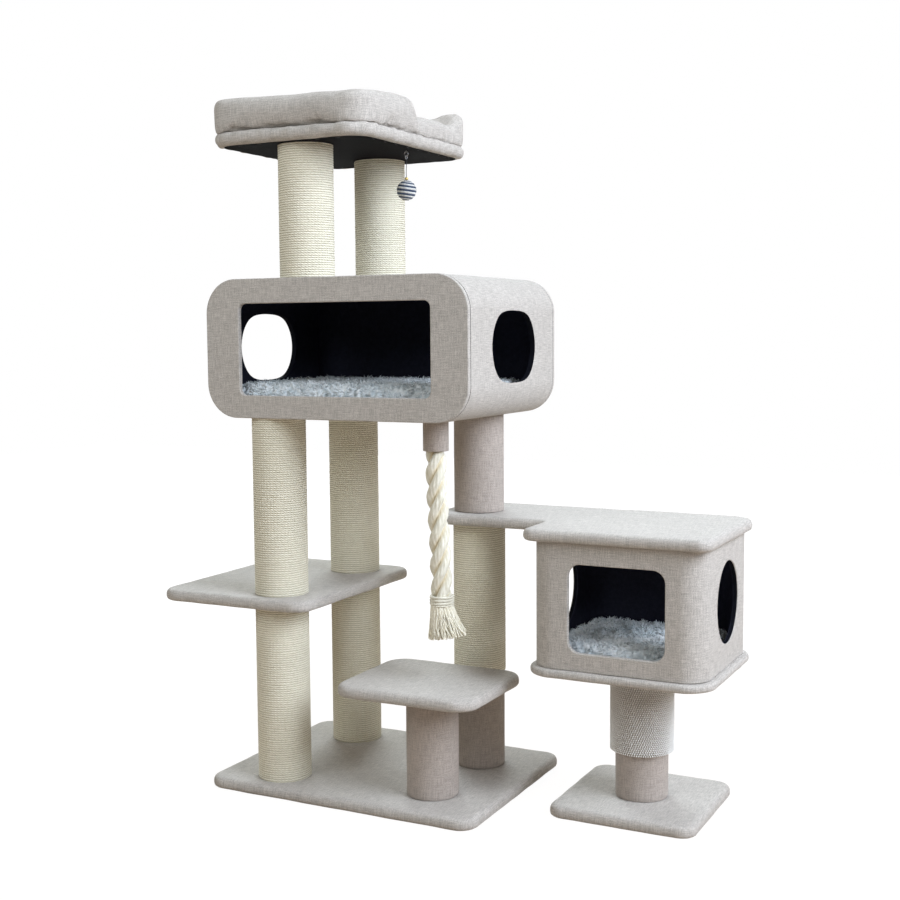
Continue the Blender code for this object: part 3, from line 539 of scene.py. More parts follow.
def woven(name, pale, deep, thread, upright):
    """A plain weave of slubby threads. thread is the width of one thread in metres, and upright the share of
    the threads along the map's second column."""
    made = new_material(name, 0.93, sheen=0.12, specular=0.2)
    flat = flat_place(made)
    fine, dash, speck = 1 / (1.2 * thread), 1 / (SLUB_LENGTH * thread), 1 / (1.3 * thread)
    warp = noisy(made, scaled(made, flat, (fine, dash, 1)), 1.0, 1.0, 0.5)
    weft = noisy(made, scaled(made, flat, (dash, fine, 1), (40, 9, 0)), 1.0, 1.0, 0.5)
    grain = noisy(made, scaled(made, flat, (speck, speck, 1), (7, 5, 0)), 1.0, 1.0, 0.5)
    threads = summed(made, (warp, upright * 0.6), (weft, (1 - upright) * 0.6), (grain, 0.4))
    slubs = stretched(made, threads, 0.38, 0.62)
    cloud = noisy(made, object_place(made), 9.0, 2.0)
    shade = summed(made, (slubs, 0.86), (cloud, 0.14))
    knit = maths(made, "MULTIPLY", *[
        maths(made, "SINE", maths(made, "MULTIPLY", axis, math.pi / thread)) for axis in parted(made, flat)
    ])
    height = summed(made, (knit, 0.5), (slubs, 0.6))
    return surface(made, mixed(made, shade, deep, pale), height, thread * 0.28, 0.5)


THREAD_WIDTH = 0.0016
LINEN = woven("board_linen", (0.645, 0.604, 0.560), (0.330, 0.304, 0.279), THREAD_WIDTH, 0.5)
POST_CLOTH = woven("post_linen", (0.555, 0.482, 0.431), (0.310, 0.269, 0.241), THREAD_WIDTH, 0.56)
print("linen threads", THREAD_WIDTH)

# %% [markdown]
# ## Sisal
# The posts are wound with twisted sisal cord about five millimetres thick. The turns themselves are
# geometry, because they show at the edge of a post. The finish adds what is finer: the twist of the cord,
# its stiff pale and straw-coloured fibres, and a painted shade in the groove between two turns and along
# the twist.

# %% Wound cord finish
SISAL_PITCH = 0.0050


def wound(name, pale, deep, painted_groove_shade, lay):
    """Twisted cord. The map's first column runs along the cord in metres, its second counts the turns."""
    made = new_material(name, 0.88, sheen=0.08, specular=0.25)
    flat = flat_place(made)
    along, turns = parted(made, flat)
    twist = maths(made, "ADD", maths(made, "DIVIDE", along, lay), turns)
    strands = maths(made, "SINE", maths(made, "MULTIPLY", twist, 2 * math.pi))
    fibre = noisy(made, scaled(made, flat, (520, 6, 1)), 1.0, 3.0, 0.7)
    speck = noisy(made, scaled(made, flat, (240, 1.9, 1), (3, 7, 0)), 1.0, 2.0, 0.6)
    # The twist's sine also darkens the colour in the twist's hollows, a small painted shade.
    shade = summed(made, (fibre, 0.35), (speck, 0.65), (strands, 0.07))
    colour = mixed(made, stretched(made, shade, 0.34, 0.60), deep, pale)
    # Painted shade: the colour darkens to the groove colour at the edges of each turn, where two turns meet.
    within = maths(made, "ABSOLUTE", maths(made, "SUBTRACT", maths(made, "FRACT", turns), 0.5))
    ragged = maths(made, "ADD", within, maths(made, "MULTIPLY", maths(made, "SUBTRACT", speck, 0.5), 0.35))
    colour = mixed(made, stretched(made, ragged, 0.30, 0.48, 0.0, 0.8), colour, painted_groove_shade)
    height = summed(made, (strands, 0.5), (fibre, 1.1))
    return surface(made, colour, height, 0.0006, 0.8)


# The last colour is the painted shade in the grooves between turns.
SISAL = wound("sisal_cord", (0.97, 0.935, 0.80), (0.72, 0.665, 0.515), (0.36, 0.31, 0.19), 0.0075)
print("sisal pitch", SISAL_PITCH)

# %% [markdown]
# ## Fur, lining and cotton
# The cushions are pale plush with a bluish shadow. The insides are lined with a black felt-like cloth that
# gives back almost no light. The rope is soft cotton: its three strands are geometry, and the finish adds
# the fine yarns that run along each strand, and a painted warm shade in the hollows between the strands.

# %% Soft finishes
def speckled(name, pale, deep, scale, roughness, sheen=0.0, bump=0.0004, metallic=0.0, specular=0.3):
    """A finish of fine noise between two colours."""
    made = new_material(name, roughness, metallic, sheen, specular=specular)
    where = object_place(made)
    grain = noisy(made, where, scale, 4.0, 0.65)
    broad = noisy(made, where, scale / 9, 2.0)
    shade = summed(made, (grain, 0.65), (broad, 0.35))
    return surface(made, mixed(made, stretched(made, shade, 0.38, 0.62), deep, pale), grain, bump, 0.5)


FUR = speckled("cushion_fur", (0.87, 0.885, 0.895), (0.52, 0.59, 0.625), 90, 0.95, 0.5, 0.0012)
LINING = speckled("black_lining", (0.030, 0.032, 0.052), (0.018, 0.019, 0.032), 900, 0.97, specular=0.08)
LINING_EDGE = speckled("black_edge", (0.010, 0.011, 0.016), (0.005, 0.005, 0.008), 900, 0.97, specular=0.05)
DUST_COVER = speckled("dust_cover", (0.009, 0.009, 0.011), (0.004, 0.004, 0.006), 1300, 0.95, specular=0.1)
BRUSH = speckled("brush_plastic", (0.90, 0.895, 0.88), (0.82, 0.81, 0.79), 160, 0.42, 0.0, 0.0001)
# Painted shade: the sleeve's ground between the nubs is a darker copy of the nubs' white.
BRUSH_PAINTED_SHADE = speckled("brush_painted_shade", (0.46, 0.43, 0.405), (0.38, 0.352, 0.33), 160, 0.6, 0.0, 0.0001)
CARD = speckled("grey_card", (0.44, 0.34, 0.23), (0.33, 0.25, 0.16), 300, 0.9)
WIRE = speckled("blued_wire", (0.16, 0.16, 0.17), (0.10, 0.10, 0.11), 700, 0.5, 0.0, 0.00008, 1.0)
STEEL = speckled("zinc_steel", (0.62, 0.62, 0.64), (0.45, 0.45, 0.47), 700, 0.34, 0.0, 0.00008, 1.0)
BRASS = speckled("brass_bead", (0.86, 0.66, 0.28), (0.62, 0.44, 0.15), 500, 0.3, 0.0, 0.00006, 1.0)
DARK_CORD = speckled("dark_cord", (0.045, 0.045, 0.052), (0.018, 0.018, 0.022), 2200, 0.8, 0.1, 0.0002)


def yarned(name, pale, deep, fibres, slope, sheen, painted_hollow_shade=None):
    """Soft yarn with fine fibres along it. The map runs along the yarn, then round it. The last colour, when
    given, is painted into the hollows as a warm shade, where a mesh says how hollow it is."""
    made = new_material(name, 0.92, sheen=sheen, specular=0.2)
    flat = flat_place(made)
    fine = noisy(made, scaled(made, flat, fibres, turn=(0, 0, slope)), 1.0, 4.0, 0.7)
    broad = noisy(made, object_place(made), 60.0, 3.0)
    shade = summed(made, (fine, 0.7), (broad, 0.3))
    colour = mixed(made, stretched(made, shade, 0.35, 0.62), deep, pale)
    # Painted shade: the hollows are tinted darker and warmer, by how hollow the mesh says they are.
    if painted_hollow_shade:
        depth = made.node_tree.nodes.new("ShaderNodeAttribute")
        depth.attribute_name = "hollow"
        colour = mixed(made, stretched(made, depth.outputs["Fac"], 0.35, 1.0, 0.0, 0.75), colour, painted_hollow_shade)
    return surface(made, colour, fine, 0.0010, 0.8)


# The last colour is a painted warm shade for the hollows between the strands.
COTTON = yarned(
    "cotton_rope", (0.93, 0.905, 0.80), (0.66, 0.61, 0.47), (34, 380, 1), 0.0, 0.2, (0.70, 0.57, 0.33)
)
# The tassel's cotton is a paler copy of the rope's, painted light against the shade between its loose yarns.
FRAYED_PAINTED_LIGHT = yarned("frayed_cotton_painted_light", (1.0, 0.975, 0.87), (0.86, 0.80, 0.63), (40, 700, 1), 0.0, 0.35)
YARN_PALE = yarned("pale_yarn", (0.80, 0.79, 0.75), (0.52, 0.52, 0.52), (700, 90, 1), 0.3, 0.2)
YARN_BLUE = yarned("blue_yarn", (0.085, 0.115, 0.18), (0.022, 0.030, 0.055), (700, 90, 1), 0.3, 0.2)
print("materials", len(bpy.data.materials))

# %% Finishes for the frame's own pieces
for name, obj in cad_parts.items():
    finish = LINEN
    if name.endswith("_core"):
        finish = CARD
    elif name.endswith(("_bolt", "_stud", "_eye")) or name == "toy_ring":
        finish = STEEL
    obj.data.materials.clear()
    obj.data.materials.append(finish)
print("bolts, studs and card tubes dressed")
# %% [markdown]
# ## Strips, hairs and turns
# Three shapes come back all over the tree: bundles of thin strands, a winding of cord round a post, and
# a cover drawn over a post. A strand is a curve with a round section, made a mesh at the end. A winding is
# half a circle turned into a screw, so the turns touch and show a true bumpy edge against the light.

# %% Bundles and windings
def bundle(name, strands, thickness, sides=4):
    """Many tapering strands as one mesh. Each strand is a list of (point, share of the thickness)."""
    curve = bpy.data.curves.new(name, "CURVE")
    curve.dimensions = "3D"
    curve.bevel_depth = thickness
    curve.bevel_resolution = (sides - 4) // 2
    curve.use_fill_caps = True
    for strand in strands:
        spline = curve.splines.new("POLY")
        spline.points.add(len(strand) - 1)
        for spot, (point, share) in zip(spline.points, strand):
            spot.co = (*point, 1)
            spot.radius = share
    obj = bpy.data.objects.new(name, curve)
    bpy.context.scene.collection.objects.link(obj)
    only(obj)
    bpy.ops.object.convert(target="MESH")
    obj = bpy.context.object
    obj.data.name = name
    lay_flat(obj, by_face)
    return shaded(obj, 60)


def draw_in(obj, radius):
    """Sets the selected points at one radius round the vertical axis."""
    mesh = bmesh.from_edit_mesh(obj.data)
    for vertex in mesh.verts:
        if vertex.select:
            share = radius / math.hypot(vertex.co.x, vertex.co.y)
            vertex.co.x *= share
            vertex.co.y *= share
    bmesh.update_edit_mesh(obj.data)


def winding(name, place, low, high, outer, inner, pitch, depth, sides, seed):
    """Cord wound round an upright axis, from low to high, hollow inside, with its ends trimmed level."""
    bpy.ops.object.select_all(action="DESELECT")
    bpy.ops.mesh.primitive_circle_add(
        vertices=12, radius=pitch / 2, location=(outer - depth, 0, low - pitch), rotation=(math.pi / 2, 0, 0)
    )
    obj = settled(bpy.context.object, name)
    edit(obj)
    pick(obj, "verts", lambda vertex: vertex.co.x < outer - depth - pitch * 0.01)
    bpy.ops.mesh.delete(type="VERT")
    bpy.ops.mesh.select_all(action="SELECT")
    bpy.ops.transform.resize(value=(2 * depth / pitch, 1, 1), center_override=(outer - depth, 0, 0))
    done()
    turns = math.ceil((high - low) / pitch) + 2
    modified(obj, "SCREW", screw_offset=pitch, iterations=turns, steps=sides, render_steps=sides)
    edit(obj)
    bpy.ops.mesh.select_all(action="SELECT")
    bpy.ops.mesh.remove_doubles(threshold=pitch / 200)
    bpy.ops.mesh.bisect(plane_co=(0, 0, low), plane_no=(0, 0, 1), clear_inner=True)
    bpy.ops.mesh.select_all(action="SELECT")
    bpy.ops.mesh.bisect(plane_co=(0, 0, high), plane_no=(0, 0, 1), clear_outer=True)
    pick(obj, "edges", lambda edge: edge.is_boundary)
    bpy.ops.mesh.extrude_region_move()
    draw_in(obj, inner)
    bpy.ops.mesh.bridge_edge_loops()
    bpy.ops.mesh.select_all(action="SELECT")
    bpy.ops.mesh.normals_make_consistent(inside=False)
    done()
    points = points_of(obj)
    outward = np.hypot(points[:, 0], points[:, 1])
    strength = smoothstep(inner, outer - depth, outward)[:, None]
    inside = (points[:, 2:] > low + pitch / 4) & (points[:, 2:] < high - pitch / 4)
    sideways = points * [1, 1, 0] / np.maximum(outward, 1e-6)[:, None]
    lumps = ripple(points * [1, 1, 5], 0.030, seed)[:, None]
    points = points + sideways * lumps * strength * depth * 0.13
    points[:, 2:] += ripple(points * [1, 1, 4], 0.05, seed + 1)[:, None] * strength * inside * pitch * 0.07

    def across(places, normals, first):
        pairs = round_a_post(0, 0, outer, math.pi)(places, normals * [1, 1, 0], first)
        pairs[:, 1] = (places[:, 2] - low) / pitch - (pairs[:, 0] / outer + math.pi) / (2 * math.pi) + 0.5
        return pairs

    lay_flat(obj, across)
    move_points(obj, points + [place[0], place[1], 0])
    return shaded(obj, 75)


def covered_post(name, place, low, high, radius):
    """A tube covered with cloth, whose two edges lap in a seam on the side that faces away."""
    obj = drum(name, (0, 0), radius, low, high, 96)
    edit(obj)
    pick_edges(obj, lambda middle, way: abs(way.z) < 0.1)
    round_off(0.0016, 2)
    pick_edges(obj, lambda middle, way: abs(way.z) > 0.9)
    bpy.ops.mesh.subdivide(number_cuts=24)
    pick_faces(obj, lambda middle, normal: (
        middle.y > radius * 0.985 and middle.x > -0.004 and abs(normal.z) < 0.1
    ))
    bpy.ops.mesh.extrude_region_move(TRANSFORM_OT_translate={"value": (0, 0.0009, 0)})
    done()
    points = points_of(obj)
    rim = np.abs(points[:, 2] - (low + high) / 2) / ((high - low) / 2)
    swell = 1 + 0.004 * ripple(points * [1, 1, 0.5], 0.08, int(low * 1000)) * (1 - rim ** 8)
    points[:, :2] *= swell[:, None]
    move_points(obj, points + [place[0], place[1], 0])
    lay_flat(obj, round_a_post(place[0], place[1], radius))
    return shaded(obj, 35)


print("bundles, windings and covers ready")

# %% [markdown]
# ## The hanging rope
# A thick cotton rope hangs from a short covered collar under the condo, for a cat to claw. It is laid from
# three strands that turn round each other once in about 15 cm. It could be three separate tubes; one tube
# with a three-lobed section that turns on its way down has no hidden inside, and bends as one piece.

# %% The rope's line
ROPE_LOW, ROPE_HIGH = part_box("rope")
COLLAR_LOW, COLLAR_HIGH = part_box("rope_collar")
ROPE_Y = (ROPE_LOW.y + ROPE_HIGH.y) / 2
MOUTH = Vector(((COLLAR_LOW.x + COLLAR_HIGH.x) / 2, ROPE_Y, COLLAR_LOW.z))
ROPE_DRIFT = 0.0116
ROPE_RADIUS = 0.0228
ROPE_LAY = 0.147
ROPE_SIDES = 90
ROPE_ROWS = 200
ROPE_TOP = ROPE_HIGH.z - 0.0012
ROPE_FOOT = ROPE_LOW.z + 0.0015
STRAND_OFFSET = 0.0118
STRAND_RADIUS = ROPE_RADIUS - STRAND_OFFSET


def rope_middle(level):
    """The rope's centre at a level: straight out of the collar, then a slow drift to the right."""
    share = min(max((MOUTH.z - level) / (MOUTH.z - ROPE_LOW.z), 0), 1)
    return Vector((MOUTH.x + ROPE_DRIFT * share * share * (3 - 2 * share), ROPE_Y, level))


# %% The laid strands
rope = drum("rope_laid", (0, 0), ROPE_RADIUS, ROPE_FOOT, ROPE_TOP, ROPE_SIDES)
edit(rope)
pick_edges(rope, lambda middle, way: abs(way.z) > 0.9)
bpy.ops.mesh.subdivide(number_cuts=ROPE_ROWS)
done()


def strand_edge(angle):
    """The outline of three strands that touch: a radius for each angle."""
    local = np.mod(angle + math.pi / 3, 2 * math.pi / 3) - math.pi / 3
    side = STRAND_OFFSET * np.sin(local)
    return STRAND_OFFSET * np.cos(local) + np.sqrt(STRAND_RADIUS ** 2 - side ** 2)


points = points_of(rope)
angle = np.arctan2(points[:, 1], points[:, 0])
laid = angle - 2 * math.pi * points[:, 2] / ROPE_LAY
radius = strand_edge(laid)
radius *= 1 + 0.026 * np.sin(laid * 3 * 6 + points[:, 2] * 700) + 0.026 * ripple(points, 0.013, 3)
into = np.clip((points[:, 2] - MOUTH.z) / 0.0235, 0, 1)
radius *= np.sqrt(np.maximum(1 - into ** 2, 0.02))
radius *= 1 - 0.07 * np.exp(-(((points[:, 2] - MOUTH.z) / 0.02) ** 2))
radius *= 1 - 0.10 * smoothstep(0.030, 0.0, points[:, 2] - ROPE_FOOT)
middles = np.array([rope_middle(level) for level in points[:, 2]])
shaped = middles + np.stack([radius * np.cos(angle), radius * np.sin(angle), 0 * radius], 1)


def along_strands(places, normals, first):
    """Down the rope, and round it with the lay."""
    def turned(spots):
        return np.mod(np.arctan2(spots[:, 1], spots[:, 0]) - math.pi / 2, 2 * math.pi)
    here = near_start(turned(places), turned(first), 2 * math.pi)
    return np.stack([places[:, 2], (here - 2 * math.pi * places[:, 2] / ROPE_LAY * 0.35) * ROPE_RADIUS], 1)


lay_flat(rope, along_strands)
# How deep each point lies between the strands; the cotton finish paints a warm shade there.
hollow = rope.data.attributes.new("hollow", "FLOAT", "POINT")
crest = STRAND_OFFSET + STRAND_RADIUS
valley = float(strand_edge(np.array([math.pi / 3]))[0])
hollow.data.foreach_set("value", np.clip((crest - strand_edge(laid)) / (crest - valley), 0, 1))
move_points(rope, shaped)
shaded(rope, 80)
print("strand bulges every", round(ROPE_LAY / 3, 3), "m")

# %% [markdown]
# The rope's end is bound with a few turns of cord, and below it the strands are frayed into a tassel of
# loose yarns. They hang nearly straight on the left and sweep out to the right, where they end a little
# higher. Short hairs stand off the rope all the way down, as on any cotton rope that has been handled.

# %% Whipping, tassel and hairs
WHIP_LOW, WHIP_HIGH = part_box("rope_whipping")
TASSEL_LOW, TASSEL_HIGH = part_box("rope_tassel")
whip_place = ((WHIP_LOW.x + WHIP_HIGH.x) / 2, ROPE_Y)
whip_outer = (WHIP_HIGH.x - WHIP_LOW.x) / 2
WHIP_PITCH = 0.0064
whipping = winding(
    "whipping_turns", whip_place, WHIP_LOW.z, WHIP_HIGH.z, whip_outer, ROPE_RADIUS * 0.88, WHIP_PITCH,
    0.0028, 60, 5,
)

TASSEL_STRANDS = 640
TASSEL_TOP = 0.0232
YARN_THICKNESS = 0.00150
ROPE_HAIRS = 520
HAIR_THICKNESS = 0.00022
draw = random.Random(11)
yarns = []
for _ in range(TASSEL_STRANDS):
    spin = draw.uniform(0, 2 * math.pi)
    rim = math.sqrt(draw.random())
    rightward = (1 + math.cos(spin)) / 2
    sweep_out = rim * (0.0120 * math.cos(spin) + 0.0145 * rightward ** 2) + 0.0060
    length = draw.uniform(0.80, 1.0) * (TASSEL_HIGH.z - TASSEL_LOW.z - 0.002) * (1 - 0.17 * rightward * rim)
    stray = draw.uniform(0.003, 0.008) if draw.random() < 0.07 else 0.0
    bow = draw.uniform(-0.0040, 0.0040)
    strand = []
    for step in range(9):
        share = step / 8
        wave = bow * math.sin(share * math.pi * 2.4)
        place = (
            whip_place[0] + TASSEL_TOP * rim * math.cos(spin) + (sweep_out + stray) * share ** 1.15
            + wave * math.sin(spin),
            whip_place[1] + (TASSEL_TOP + 0.011 * share) * rim * math.sin(spin) - wave * math.cos(spin),
            TASSEL_HIGH.z + 0.004 - length * share,
        )
        strand.append((place, 1.0 - 0.35 * share))
    yarns.append(strand)
tassel = bundle("tassel_yarns", yarns, YARN_THICKNESS)

hairs = []
for _ in range(ROPE_HAIRS):
    level = draw.uniform(ROPE_FOOT + 0.02, MOUTH.z - 0.004)
    spin = draw.uniform(0, 2 * math.pi)
    middle = rope_middle(level)
    root = float(strand_edge(np.array([spin - 2 * math.pi * level / ROPE_LAY]))[0]) - 0.0006
    reach = draw.uniform(0.0015, 0.0042)
    rise = draw.uniform(-0.006, 0.003)
    hair = []
    for share in (0.0, 0.5, 1.0):
        out = root + reach * share
        twist = spin + 0.25 * share * draw.uniform(-1, 1)
        hair.append(((
            middle.x + out * math.cos(twist), middle.y + out * math.sin(twist), level + rise * share ** 1.5
        ), 1.0 - 0.7 * share))
    hairs.append(hair)
fuzz = bundle("rope_hairs", hairs, HAIR_THICKNESS)

dressed(whipping, COTTON, "hanging_rope", ["rope_whipping"])
dressed(tassel, FRAYED_PAINTED_LIGHT, "hanging_rope", ["rope_tassel"])
for piece in (rope, fuzz):
    piece.data.materials.clear()
    piece.data.materials.append(COTTON)
    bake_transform(piece)
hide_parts("rope")

# %% [markdown]
# ## The toy's cord
# A yarn ball hangs under the perch on a thin dark cord with a brass bead. A cord this thin is a plain
# curve with a round section; its small bow keeps it from looking like a wire.

# %% Toy cord
CORD_LOW, CORD_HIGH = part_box("toy_cord")
TOY_X = (CORD_LOW.x + CORD_HIGH.x) / 2
TOY_Y = (CORD_LOW.y + CORD_HIGH.y) / 2
CORD_DIAMETER = 0.0015
CORD_STEPS = 23
string = bpy.data.curves.new("toy_string", "CURVE")
string.dimensions = "3D"
string.bevel_depth = CORD_DIAMETER / 2
string.bevel_resolution = 3
string.use_fill_caps = True
spline = string.splines.new("POLY")
spline.points.add(CORD_STEPS)
for index, spot in enumerate(spline.points):
    share = index / CORD_STEPS
    bow = 0.00035 * math.sin(share * math.pi * 2)
    spot.co = (TOY_X + bow, TOY_Y, CORD_HIGH.z + (CORD_LOW.z - CORD_HIGH.z) * share, 1)
toy_string = bpy.data.objects.new("toy_string", string)
bpy.context.scene.collection.objects.link(toy_string)
print("toy cord length", round(CORD_HIGH.z - CORD_LOW.z, 4))
# %% [markdown]
# ## The floor
# A plain white sheet to stand on, so overexposed that only a trace of shadow stays under the boards. What
# it throws back onto the tree is weaker and warmer than what is seen of it, as from a wooden studio floor
# beyond the sheet; otherwise the undersides of the boards would be as pale as their tops.

# %% Floor
SEEN_WHITE = 0.86  # how much of the floor's look is its own even white, close to the tree

bpy.ops.object.select_all(action="DESELECT")
bpy.ops.mesh.primitive_plane_add(size=FLOOR_SIDE, location=(0, 0, cad_box[0].z))
sweep = settled(bpy.context.object, "sweep")
edit(sweep)
bpy.ops.mesh.select_all(action="SELECT")
bpy.ops.mesh.subdivide(number_cuts=3)
done()
WHITE = new_material("white_sweep", 0.9, specular=0.05)
grain = noisy(WHITE, object_place(WHITE), 3.0)
surface(WHITE, mixed(WHITE, grain, (0.46, 0.375, 0.30), (0.50, 0.405, 0.325)))
lit = WHITE.node_tree.nodes["Principled BSDF"]
even = WHITE.node_tree.nodes.new("ShaderNodeEmission")
even.inputs["Color"].default_value = (1, 1, 1, 1)
even.inputs["Strength"].default_value = 1.12
seen_floor = WHITE.node_tree.nodes.new("ShaderNodeLightPath")
distance = node(WHITE, "VectorMath", {0: object_place(WHITE)}, operation="LENGTH")
distance = distance.node.outputs["Value"]
evenness = stretched(WHITE, distance, 0.8, 1.8, SEEN_WHITE, 1.0)
own = maths(WHITE, "MULTIPLY", seen_floor.outputs["Is Camera Ray"], evenness)
blend = WHITE.node_tree.nodes.new("ShaderNodeMixShader")
WHITE.node_tree.links.new(own, blend.inputs[0])
WHITE.node_tree.links.new(lit.outputs[0], blend.inputs[1])
WHITE.node_tree.links.new(even.outputs[0], blend.inputs[2])
WHITE.node_tree.links.new(blend.outputs[0], WHITE.node_tree.nodes["Material Output"].inputs["Surface"])
sweep.data.materials.append(WHITE)
# %% [markdown]
# ## Padded boards
# Each board is a wooden panel under a thin foam and a tight linen cover, so its top edge is soft and the
# posts press a shallow hollow into it. A box with its corners and rims bevelled gives the shape. A voxel
# remesh then turns it into even small faces, which can be smoothed and pressed in round the posts' feet.

# %% Board maker
POCKET_RADIUS = 0.0105
POCKET_DEPTH = 0.0058


def press_feet(obj, feet, level, side, depth=0.0014, reach=0.013):
    """Presses the cover in under and round each round foot. side is 1 for a top face, -1 for an underside."""
    points = points_of(obj)
    near = np.abs(points[:, 2] - level) < 0.003
    for x, y, radius in feet:
        gap = np.hypot(points[:, 0] - x, points[:, 1] - y) - radius
        drop = depth * (1 - smoothstep(-0.001, reach, gap))
        points[:, 2] -= side * drop * near
    move_points(obj, points)


def padded(obj, voxel, waves=0.00035, seed=1):
    """Turns a bevelled box into a soft skin of small even faces."""
    modified(obj, "REMESH", mode="VOXEL", voxel_size=voxel)
    modified(obj, "SMOOTH", factor=0.6, iterations=5)
    points = points_of(obj)
    points += normals_of(obj) * (ripple(points, 0.07, seed) * waves)[:, None]
    points[:, 2] = np.maximum(points[:, 2], 0.0)
    move_points(obj, points)
    return obj


def board(node_name, name, corner, top_round, under_round, voxel=0.0036):
    """A padded board in the box of its CAD node."""
    low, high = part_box(node_name)
    obj = block(name, low, high)
    edit(obj)
    pick_edges(obj, lambda middle, way: abs(way.z) > 0.9)
    round_off(corner, 14)
    pick_edges(obj, lambda middle, way: abs(middle.z - high.z) < 1e-5)
    round_off(top_round, 5)
    pick_edges(obj, lambda middle, way: abs(middle.z - low.z) < 1e-5)
    round_off(under_round, 3)
    done()
    padded(obj, voxel, seed=len(name))
    return obj


def bolt_pockets(obj, places, low, high):
    """Cuts the round pockets that the bolt heads lie in."""
    for x, y in places:
        cut(obj, drum("pocket", (x, y), POCKET_RADIUS, low, high, 24))


def foot_of(node_name):
    """A post's axis and radius."""
    low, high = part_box(node_name)
    return (low.x + high.x) / 2, (low.y + high.y) / 2, (high.x - low.x) / 2


print("board maker ready")

# %% Base boards, shelf and step
base = board("main_base_board", "base_padded", 0.040, 0.011, 0.005)
base_feet = [foot_of(name) for name in (
    "front_left_lower_sisal", "back_left_lower_sisal", "column_lower_cover", "step_post",
)]
press_feet(base, base_feet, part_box("main_base_board")[1].z, 1)
bolt_pockets(base, [foot[:2] for foot in base_feet], -0.01, POCKET_DEPTH)

cabin_foot = foot_of("cabin_post")
side_base = board("cabin_base_board", "side_base_padded", 0.035, 0.011, 0.005, 0.0032)
press_feet(side_base, [cabin_foot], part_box("cabin_base_board")[1].z, 1)
bolt_pockets(side_base, [cabin_foot[:2]], -0.01, POCKET_DEPTH)

shelf = board("left_shelf_board", "shelf_padded", 0.045, 0.011, 0.007)
shelf_feet = base_feet[:2]
press_feet(shelf, shelf_feet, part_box("left_shelf_board")[1].z, 1)
press_feet(shelf, shelf_feet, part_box("left_shelf_board")[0].z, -1)

step = board("step_board", "step_padded", 0.050, 0.012, 0.007)
press_feet(step, [base_feet[3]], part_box("step_board")[0].z, -1)

floor_board = board("cabin_floor_board", "cabin_floor_padded", 0.062, 0.007, 0.006, 0.0030)
for piece, node_name in (
    (base, "main_base_board"), (side_base, "cabin_base_board"), (shelf, "left_shelf_board"),
    (step, "step_board"), (floor_board, "cabin_floor_board"),
):
    lay_flat(piece, by_face)
    shaded(piece, 60)
    dressed(piece, LINEN, stands_for=[node_name])

# %% [markdown]
# ## The bridge
# One L-shaped board roofs the cabin and reaches back to the tall column, so a cat can cross. It starts as
# the box over the cabin. The back part of its left side is cut off as a face of its own and drawn out to
# the column, which gives the L without a second piece and without a joint.

# %% L-shaped bridge board
BRIDGE_LOW, BRIDGE_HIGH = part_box("bridge_board")
ARM_FRONT = 0.012
INNER_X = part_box("cabin_wall")[0].x - 0.014
bridge = block("bridge_padded", (INNER_X, BRIDGE_LOW.y, BRIDGE_LOW.z), BRIDGE_HIGH)
edit(bridge)
bpy.ops.mesh.select_all(action="SELECT")
bpy.ops.mesh.bisect(plane_co=(0, ARM_FRONT, 0), plane_no=(0, 1, 0))
pick_faces(bridge, lambda middle, normal: normal.x < -0.9 and middle.y > ARM_FRONT)
bpy.ops.mesh.extrude_region_move(TRANSFORM_OT_translate={"value": (BRIDGE_LOW.x - INNER_X, 0, 0)})


def upright_at(x, y):
    """A test for the upright edge nearest to a corner of the plan."""
    return lambda middle, way: abs(way.z) > 0.9 and abs(middle.x - x) < 0.002 and abs(middle.y - y) < 0.002


for x, y, corner in (
    (BRIDGE_LOW.x, ARM_FRONT, 0.045), (BRIDGE_LOW.x, BRIDGE_HIGH.y, 0.045), (INNER_X, ARM_FRONT, 0.018),
    (INNER_X, BRIDGE_LOW.y, 0.030), (BRIDGE_HIGH.x, BRIDGE_LOW.y, 0.030),
    (BRIDGE_HIGH.x, BRIDGE_HIGH.y, 0.060),
):
    pick_edges(bridge, upright_at(x, y))
    round_off(corner, 12)
bpy.ops.mesh.select_all(action="SELECT")
bpy.ops.mesh.dissolve_limited(angle_limit=0.001)
pick_edges(bridge, lambda middle, way: abs(middle.z - BRIDGE_HIGH.z) < 1e-5)
round_off(0.011, 5)
pick_edges(bridge, lambda middle, way: abs(middle.z - BRIDGE_LOW.z) < 1e-5)
round_off(0.009, 4)
done()
padded(bridge, 0.0034, seed=8)
press_feet(bridge, [foot_of("column_upper_post")], BRIDGE_HIGH.z, 1)
press_feet(bridge, [foot_of("column_middle_sisal")], BRIDGE_LOW.z, -1)
lay_flat(bridge, by_face)
shaded(bridge, 60)
dressed(bridge, LINEN, stands_for=["bridge_board"])
# %% [markdown]
# ## Sisal posts
# Sisal cord is glued turn by turn round a card tube, about eighty turns on a long post. The cord's round
# back stands out by about a millimetre and a half, because the turns are pressed together.

# %% Wound posts
WOUND = (
    "front_left_lower", "back_left_lower", "front_left_upper", "back_left_upper", "front_top", "back_top",
    "column_middle",
)
SISAL_BACK = 0.0015
SISAL_CORD = 0.0054
for number, post in enumerate(WOUND):
    low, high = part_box(post + "_sisal")
    x, y, radius = foot_of(post + "_sisal")
    trim = 0.0008 if "top" in post else 0.0
    made = winding(
        post + "_winding", (x, y), low.z - 0.0010, high.z + 0.0006 - trim * 2, radius, radius - SISAL_CORD,
        SISAL_PITCH, SISAL_BACK, 56, 20 + number,
    )
    dressed(made, SISAL, stands_for=[post + "_sisal"])

# %% [markdown]
# ## Covered posts
# Four posts are covered with a darker, pinkish linen instead: a tube of cloth drawn over the card, with
# one lapped seam down the side that faces away.

# %% Cloth-covered posts
for node_name in ("column_lower_cover", "column_upper_post", "step_post", "cabin_post"):
    low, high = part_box(node_name)
    x, y, radius = foot_of(node_name)
    made = covered_post(node_name + "_cloth", (x, y), low.z - 0.0008, high.z + 0.0003, radius)
    dressed(made, POST_CLOTH, stands_for=[node_name])
